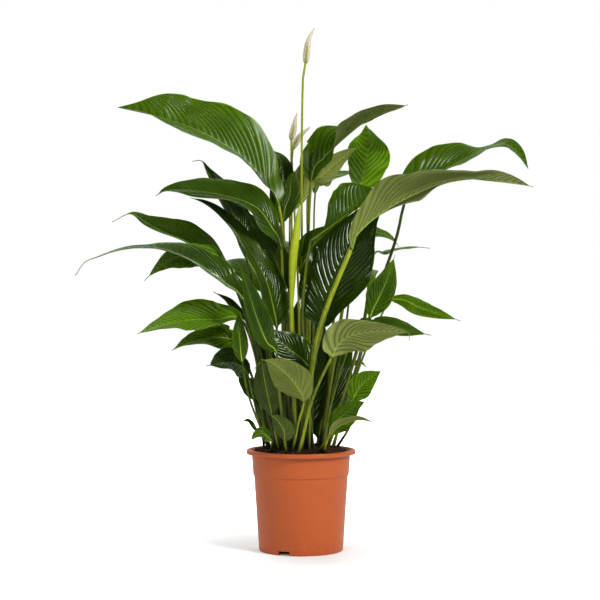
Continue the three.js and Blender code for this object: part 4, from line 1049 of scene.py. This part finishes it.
def lathed(name, profile, sides):
    """A closed turned solid from a profile that starts and ends on the axis."""
    angles = np.linspace(0, 2 * math.pi, sides, endpoint=False)
    rings = np.array([[(r * math.cos(a), r * math.sin(a), z) for a in angles] for r, z in profile[1:-1]])
    count = len(rings)
    points = np.concatenate([rings.reshape(-1, 3), [(0, 0, profile[0][1]), (0, 0, profile[-1][1])]])
    corner, after = np.arange(sides), (np.arange(sides) + 1) % sides
    faces = []
    for ring in range(count - 1):
        low, high = ring * sides, (ring + 1) * sides
        faces += np.stack([low + corner, low + after, high + after, high + corner], -1).tolist()
    faces += [[count * sides, after[k], corner[k]] for k in range(sides)]
    last = (count - 1) * sides
    faces += [[count * sides + 1, last + corner[k], last + after[k]] for k in range(sides)]
    mesh = bpy.data.meshes.new(name)
    mesh.from_pydata(points.tolist(), [], [[int(v) for v in face] for face in faces])
    thing = bpy.data.objects.new(name, mesh)
    bpy.context.collection.objects.link(thing)
    if turned_inside_out(thing):
        mesh.flip_normals()
    return thing


def cut_notches(pot):
    """Cuts the drainage notches out of the pot's foot."""
    cutters = []
    for index in range(NOTCH_COUNT):
        bpy.ops.mesh.primitive_cube_add(size=1)
        block = bpy.context.object
        angle = NOTCH_ANGLE + 2 * math.pi * index / NOTCH_COUNT
        block.location = (BASE_RADIUS * math.cos(angle), BASE_RADIUS * math.sin(angle), 0)
        block.rotation_euler = (0, 0, angle)
        block.scale = NOTCH_SIZE
        cut = pot.modifiers.new(f"notch_{index}", "BOOLEAN")
        cut.object, cut.operation, cut.solver = block, "DIFFERENCE", "EXACT"
        cutters.append(block)
    bpy.context.view_layer.update()
    baked(pot)
    for block in cutters:
        bpy.data.objects.remove(block)


def pot_material(looks):
    """Moulded terracotta-coloured plastic, satin, faintly mottled, scuffed at its foot."""
    material, tree = new_material("pot_plastic")
    cloud = tree.noise(0.06, 4.0, 0.55)
    colour = tree.mix(cloud, rgba(looks.clay, 0.9), rgba(looks.clay, 1.1))
    grain = tree.noise(0.0015, 2.0)
    colour = tree.mix(tree.times(grain, 0.12), colour, rgba(looks.clay_dust))
    scuffs = tree.fade(tree.noise(0.007, 5.0, 0.7), 0.52, 0.75)
    foot = tree.opposite(tree.fade(tree.height(), 0.0, 0.03))
    scuffs = tree.times(scuffs, tree.ramp(foot, 0.05, 0.4))
    colour = tree.mix(scuffs, colour, rgba(looks.clay_dust))
    rough = tree.ramp(tree.noise(0.02, 4.0), 0.36, 0.52)
    streaks = tree.noise(0.006, 3.0, 0.5, (1.0, 1.0, 0.05))
    normal = tree.bump(streaks, 0.00012, 0.5)
    normal = tree.bump(grain, 0.00004, 0.6, normal)
    surface = tree.add("ShaderNodeBsdfPrincipled", {
        "Base Color": colour, "Roughness": rough, "Normal": normal, "IOR": 1.5,
        "Coat Weight": 0.08, "Coat Roughness": 0.3})
    tree.add("ShaderNodeOutputMaterial", {0: surface.outputs[0]})
    return material


def make_pot(looks):
    """The turned pot with its notches."""
    pot = lathed("nursery_pot", pot_profile(), POT_SIDES)
    cut_notches(pot)
    pot.data.materials.append(pot_material(looks))
    pot.data.polygons.foreach_set("use_smooth", [True] * len(pot.data.polygons))
    pot.data.set_sharp_from_angle(angle=SHARP_EDGE)
    finished(pot, "pot")


# ---- compost

def soil_material(name, colour, grit):
    """Damp dark compost, flecked with lighter fibres."""
    material, tree = new_material(name)
    flecks = tree.fade(tree.noise(0.0028, 4.0, 0.7), 0.5, 0.72)
    clods = tree.noise(0.009, 4.0, 0.6)
    shade = tree.mix(clods, rgba(colour, 0.45), rgba(colour, 1.3))
    shade = tree.mix(tree.times(flecks, 0.7), shade, rgba(grit))
    normal = tree.bump(tree.noise(0.0012, 4.0, 0.7), 0.0006)
    surface = tree.add("ShaderNodeBsdfPrincipled", {
        "Base Color": shade, "Roughness": 0.82, "Normal": normal, "Specular IOR Level": 0.3})
    tree.add("ShaderNodeOutputMaterial", {0: surface.outputs[0]})
    return material


def unevenness(x, y):
    """How high the compost's lumps and clods stand at a place, in millimetres."""
    lumps = math.sin(x / 5.3) * math.cos(y / 4.3) + 0.6 * math.sin(x / 9 - y / 3.2)
    clods = math.sin(x / 1.7 + 2 * math.sin(y / 3)) * math.cos(y / 1.9)
    return LUMP_HEIGHT * lumps + CLOD_HEIGHT * clods


def soil_bed():
    """The compost's top as a shallow closed disc with a lumpy surface."""
    radii = SOIL_RADIUS * np.linspace(0, 1, SOIL_RINGS + 1)[1:]
    profile = [(0, SOIL_EDGE - SOIL_DEPTH), (SOIL_RADIUS * 0.97, SOIL_EDGE - SOIL_DEPTH)]
    profile += [(r, SOIL_EDGE) for r in radii[::-1]] + [(0, SOIL_EDGE)]
    bed = lathed("compost", profile, SOIL_SIDES)
    for vertex in bed.data.vertices:
        x, y, z = vertex.co
        if z > SOIL_EDGE - SOIL_DEPTH / 2:
            spread = min(math.hypot(x, y) / SOIL_RADIUS, 1)
            vertex.co.z += SOIL_MOUND * (1 - spread**SOIL_FLATNESS) + unevenness(x / MM, y / MM) * MM
    put_attribute(bed, "upward", "FLOAT", "FACE",
                  np.array([f.normal.z > 0.3 for f in bed.data.polygons], np.float32))
    return bed


def crumb_shape(name, seed, flat):
    """One rough crumb of a few faces, a millimetre across."""
    random = np.random.default_rng(seed)
    bpy.ops.mesh.primitive_ico_sphere_add(subdivisions=1, radius=0.5 * MM)
    crumb = bpy.context.object
    crumb.name = name
    for vertex in crumb.data.vertices:
        vertex.co *= random.uniform(0.7, 1.25)
        vertex.co.z *= flat
    return crumb


def scatter_tree(name, crumbs, bed_material, crumb_material):
    """Strews crumbs over the upper side of a surface, and joins them to it."""
    tree = bpy.data.node_groups.new(name, "GeometryNodeTree")
    inputs = {}
    for label, kind in (("Geometry", "Geometry"), ("Crumbs", "Float"), ("Smallest", "Float"),
                        ("Largest", "Float"), ("Seed", "Int")):
        inputs[label] = tree.interface.new_socket(label, in_out="INPUT", socket_type="NodeSocket" + kind)
    tree.interface.new_socket("Geometry", in_out="OUTPUT", socket_type="NodeSocketGeometry")
    work = Tree(tree)
    source = work.add("NodeGroupInput").outputs
    upward = work.add("GeometryNodeInputNamedAttribute", {0: "upward"}, data_type="FLOAT").outputs[0]
    strewn = work.add("GeometryNodeDistributePointsOnFaces", {
        "Mesh": source["Geometry"], "Selection": upward, "Density": source["Crumbs"],
        "Seed": source["Seed"]}, distribute_method="RANDOM")
    shapes = work.add("GeometryNodeJoinGeometry")
    for crumb in crumbs:
        shape = work.add("GeometryNodeObjectInfo", {"Object": crumb, "As Instance": True})
        work.nodes.links.new(shape.outputs["Geometry"], shapes.inputs[0])
    turn = work.add("FunctionNodeRandomValue", {0: (0, 0, 0), 1: (CRUMB_TURN,) * 3, 8: source["Seed"]},
                    data_type="FLOAT_VECTOR")
    size = work.add("FunctionNodeRandomValue", {2: source["Smallest"], 3: source["Largest"],
                                               8: source["Seed"]}, data_type="FLOAT")
    placed = work.add("GeometryNodeInstanceOnPoints", {
        "Points": strewn.outputs["Points"], "Instance": shapes.outputs[0], "Pick Instance": True,
        "Rotation": turn.outputs[0], "Scale": size.outputs[1]})
    real = work.add("GeometryNodeRealizeInstances", {0: placed.outputs[0]})
    dressed = work.add("GeometryNodeSetMaterial", {0: real.outputs[0], 2: crumb_material})
    bed = work.add("GeometryNodeSetMaterial", {0: source["Geometry"], 2: bed_material})
    both = work.add("GeometryNodeJoinGeometry")
    for part in (dressed, bed):
        work.nodes.links.new(part.outputs[0], both.inputs[0])
    work.add("NodeGroupOutput", {0: both.outputs[0]})
    return tree, inputs


def make_compost(looks):
    """The compost's lumpy top, strewn with crumbs."""
    bed = soil_bed()
    crumbs = [crumb_shape(f"crumb_{k}", k, flat) for k, flat in enumerate(CRUMB_FLATNESS)]
    materials = (soil_material("compost_bed", looks.earth, looks.grit),
                 soil_material("compost_crumb", tuple(1.5 * c for c in looks.earth), looks.grit))
    tree, inputs = scatter_tree("compost_crumbs", crumbs, *materials)
    scatter = bed.modifiers.new("crumbs", "NODES")
    scatter.node_group = tree
    scatter[inputs["Crumbs"].identifier] = looks.crumb_density
    scatter[inputs["Smallest"].identifier] = looks.smallest
    scatter[inputs["Largest"].identifier] = looks.largest
    scatter[inputs["Seed"].identifier] = looks.seed
    baked(bed)
    for crumb in crumbs:
        bpy.data.objects.remove(crumb)
    finished(bed, "soil")


# ---- stage

def floor_material(looks):
    """A pale floor with a painted glow: the camera sees it brighter, and brighter still away from the pot,
    so its cast shadow fades out.
    """
    material, tree = new_material("studio_floor")
    cloud = tree.noise(0.8, 2.0)
    colour = tree.mix(tree.times(cloud, 0.3), rgba(looks.floor), rgba(looks.floor, 0.985))
    surface = tree.add("ShaderNodeBsdfPrincipled", {"Base Color": colour, "Roughness": 0.9,
                                                    "Specular IOR Level": 0.0})
    seen = tree.add("ShaderNodeLightPath").outputs["Is Camera Ray"]
    place = tree.add("ShaderNodeTexCoord").outputs["Object"]
    away = tree.add("ShaderNodeVectorMath", {0: place}, operation="LENGTH").outputs["Value"]
    # painted light: the floor glows for the camera, more with distance from the pot
    lift = tree.plus(looks.lift, tree.fade(away, 0.1, 0.5))
    glow = tree.add("ShaderNodeEmission", {"Color": (1, 1, 1, 1), "Strength": tree.times(seen, lift)})
    both = tree.add("ShaderNodeAddShader", {0: surface.outputs[0], 1: glow.outputs[0]})
    tree.add("ShaderNodeOutputMaterial", {0: both.outputs[0]})
    return material


def area_light(name, place, size, watts):
    """A soft rectangular light that looks at the plant's middle."""
    lamp = bpy.data.lights.new(name, "AREA")
    lamp.shape, lamp.size, lamp.size_y = "RECTANGLE", *size
    lamp.energy = watts
    thing = bpy.data.objects.new(name, lamp)
    bpy.context.collection.objects.link(thing)
    thing.location = place
    aim = Vector(PLANT_MIDDLE) - Vector(place)
    thing.rotation_euler = aim.to_track_quat("-Z", "Y").to_euler()
    return thing


def white_surroundings(looks):
    """White walls: bright behind the plant and overhead, dimmer behind the camera."""
    world = bpy.data.worlds.new("white_studio")
    world.use_nodes = True
    bpy.context.scene.world = world
    tree = Tree(world.node_tree)
    way = tree.add("ShaderNodeTexCoord").outputs["Generated"]
    axes = tree.add("ShaderNodeSeparateXYZ", {0: way}).outputs
    behind = tree.fade(axes[1], 0.0, 0.95)
    above = tree.times(tree.fade(axes[2], 0.3, 1.0), 0.35)
    light = tree.times(tree.plus(behind, above), looks.walls)
    light = tree.plus(light, looks.fill)
    path = tree.add("ShaderNodeLightPath").outputs
    seen = path["Is Camera Ray"]
    forward = tree.opposite(tree.fade(axes[1], 0.3, 0.8))
    ceiling = tree.times(tree.fade(axes[2], 0.1, 0.5), forward)
    dark = tree.times(ceiling, path["Is Glossy Ray"])
    dimmed = tree.opposite(tree.times(dark, looks.unglossed))
    light = tree.times(light, dimmed)
    strength = tree.add("ShaderNodeMix", {0: seen, 2: light, 3: 1.0}, data_type="FLOAT").outputs[0]
    wall = tree.add("ShaderNodeBackground", {0: (1, 1, 1, 1), 1: strength})
    tree.add("ShaderNodeOutputWorld", {0: wall.outputs[0]})


def build_stage(looks):
    """The floor, the walls' light, the soft lights and the camera at the photograph's angle."""
    bpy.ops.mesh.primitive_plane_add(size=FLOOR_SIZE)
    floor = bpy.context.object
    floor.name = "studio_floor"
    floor.data.materials.append(floor_material(looks))
    white_surroundings(looks)
    for name, (place, size) in LIGHTS.items():
        light = area_light(name, place, size, getattr(looks, name))
        light.visible_glossy = name != "overhead"
    place_camera()
    view = bpy.context.scene.view_settings
    view.view_transform = "Standard"
    view.look = "None"
    view.gamma = looks.contrast


def place_camera():
    """The camera at the photograph's eye, level."""
    camera = bpy.data.cameras.new("camera")
    camera.lens, camera.sensor_width = FOCAL_LENGTH, SENSOR_WIDTH
    camera.dof.use_dof = False
    camera.clip_end = 50
    eye = bpy.data.objects.new("camera", camera)
    bpy.context.collection.objects.link(eye)
    eye.location = (EYE_ACROSS * MM, -EYE_DISTANCE * MM, EYE_HEIGHT * MM)
    eye.rotation_euler = (math.radians(90), 0, 0)
    bpy.context.scene.camera = eye


# ---- what a user can change

def colour(name, description, default):
    """A colour property."""
    return FloatVectorProperty(name=name, description=description, default=default, subtype="COLOR",
                               size=3, min=0, max=1)


class PotLooks(bpy.types.PropertyGroup):
    """The pot's colours."""
    clay: colour("Clay", "Colour of the moulded plastic", (0.50, 0.105, 0.014))
    clay_dust: colour("Dust", "Colour of the scuffs and dust", (0.66, 0.33, 0.2))


class CompostLooks(bpy.types.PropertyGroup):
    """The compost's colours and crumbs."""
    earth: colour("Earth", "Colour of the damp compost", (0.045, 0.023, 0.012))
    grit: colour("Grit", "Colour of the fibres and grit", (0.26, 0.13, 0.07))
    crumb_density: FloatProperty(name="Crumbs", description="Crumbs on each square metre",
                                 default=110000, min=0)
    smallest: FloatProperty(name="Smallest", description="The smallest crumb, in millimetres", default=1.2)
    largest: FloatProperty(name="Largest", description="The largest crumb, in millimetres", default=5.5)
    seed: IntProperty(name="Seed", description="Another number strews the crumbs another way", default=7)


class LeafLooks(bpy.types.PropertyGroup):
    """The plant's colours and the depth of its ribs."""
    # the dark and bright ends also stand for leaves in shade and leaves in light, as painted light and
    # shade
    upper_dark: colour("Upper, dark", "Upper face of the darkest leaf", (0.009, 0.022, 0.002))
    upper_bright: colour("Upper, bright", "Upper face of the brightest leaf", (0.22, 0.42, 0.006))
    under_dark: colour("Under, dark", "Under face of the darkest leaf", (0.050, 0.083, 0.008))
    under_bright: colour("Under, bright", "Under face of the brightest leaf", (0.37, 0.41, 0.105))
    stalk_dark: colour("Stalk, dark", "The darkest stalk", (0.016, 0.045, 0.005))
    stalk_bright: colour("Stalk, bright", "The brightest stalk", (0.47, 0.54, 0.03))
    rib: colour("Midrib", "The midribs", (0.42, 0.55, 0.07))
    glow: colour("Glow", "Light that comes through a leaf", (0.30, 0.52, 0.02))
    cream: colour("Cream", "The spathes", (0.90, 0.84, 0.70))
    rib_depth: FloatProperty(name="Rib depth", description="Height of the lateral ribs", default=0.002,
                             min=0, unit="LENGTH")
    rib_roundness: FloatProperty(name="Rib roundness", description="Low makes broad pillows, high ridges",
                                 default=0.65, min=0.1, max=4)


class StudioLooks(bpy.types.PropertyGroup):
    """The floor's colour and the strength of the lights."""
    floor: colour("Floor", "Colour of the floor", (0.83, 0.862, 0.872))
    lift: FloatProperty(name="Lift", description="Light added to the floor as the camera sees it",
                        default=0.16)
    key: FloatProperty(name="Key", description="Light from the front right", default=74, unit="POWER")
    front: FloatProperty(name="Front", description="Light from the front left", default=20, unit="POWER")
    overhead: FloatProperty(name="Overhead", description="Light from above", default=22, unit="POWER")
    side: FloatProperty(name="Side", description="Light from the left", default=7, unit="POWER")
    walls: FloatProperty(name="Walls", description="Brightness of the white walls", default=1.0)
    unglossed: FloatProperty(name="Unglossed", description="Share of the ceiling kept out of reflections",
                             default=0.9, min=0, max=1)
    fill: FloatProperty(name="Fill", description="Light from every side", default=0.05)
    contrast: FloatProperty(name="Gamma", description="Below 1 deepens the shadows", default=0.84)


class PlantLooks(bpy.types.PropertyGroup):
    """Everything that a user can change."""
    pot: PointerProperty(type=PotLooks)
    compost: PointerProperty(type=CompostLooks)
    leaves: PointerProperty(type=LeafLooks)
    studio: PointerProperty(type=StudioLooks)


class LILY_OT_pot(bpy.types.Operator):
    """Make the moulded pot"""
    bl_idname = "lily.pot"
    bl_label = "Make the pot"

    def execute(self, context):
        make_pot(context.scene.peace_lily.pot)
        return {"FINISHED"}


class LILY_OT_compost(bpy.types.Operator):
    """Fill the pot with crumbly compost"""
    bl_idname = "lily.compost"
    bl_label = "Make the compost"

    def execute(self, context):
        make_compost(context.scene.peace_lily.compost)
        return {"FINISHED"}


class LILY_OT_leaves(bpy.types.Operator):
    """Grow every leaf with its stalk, midrib and lateral ribs"""
    bl_idname = "lily.leaves"
    bl_label = "Grow the leaves"

    def execute(self, context):
        grow_leaves(context.scene.peace_lily.leaves)
        return {"FINISHED"}


class LILY_OT_flowers(bpy.types.Operator):
    """Grow the flower stalks and their furled spathes"""
    bl_idname = "lily.flowers"
    bl_label = "Grow the flowers"

    def execute(self, context):
        grow_flowers(context.scene.peace_lily.leaves)
        return {"FINISHED"}


class LILY_OT_stage(bpy.types.Operator):
    """Build the pale floor, the soft lights and the camera"""
    bl_idname = "lily.stage"
    bl_label = "Build the stage"

    def execute(self, context):
        build_stage(context.scene.peace_lily.studio)
        return {"FINISHED"}


MAKERS = (LILY_OT_pot, LILY_OT_compost, LILY_OT_leaves, LILY_OT_flowers, LILY_OT_stage)


class LILY_PT_panel(bpy.types.Panel):
    """Lists the pieces of the plant"""
    bl_idname = "LILY_PT_panel"
    bl_label = "Peace lily"
    bl_space_type = "VIEW_3D"
    bl_region_type = "UI"
    bl_category = "Peace lily"

    def draw(self, context):
        for maker in MAKERS:
            self.layout.operator(maker.bl_idname)


CLASSES = (PotLooks, CompostLooks, LeafLooks, StudioLooks, PlantLooks, *MAKERS, LILY_PT_panel)


def register():
    """Adds the classes and the plant's settings."""
    for kind in CLASSES:
        bpy.utils.register_class(kind)
    bpy.types.Scene.peace_lily = PointerProperty(type=PlantLooks)


def unregister():
    """Takes the settings and the classes away again."""
    del bpy.types.Scene.peace_lily
    for kind in reversed(CLASSES):
        bpy.utils.unregister_class(kind)


def corners(box):
    """A box's lowest and highest corners as plain numbers."""
    return [list(corner) for corner in box]


def main():
    """Makes every piece in order."""
    register()
    bpy.ops.lily.stage()
    bpy.ops.lily.pot()
    bpy.ops.lily.compost()
    bpy.ops.lily.leaves()
    bpy.ops.lily.flowers()


if __name__ == "__main__":
    main()
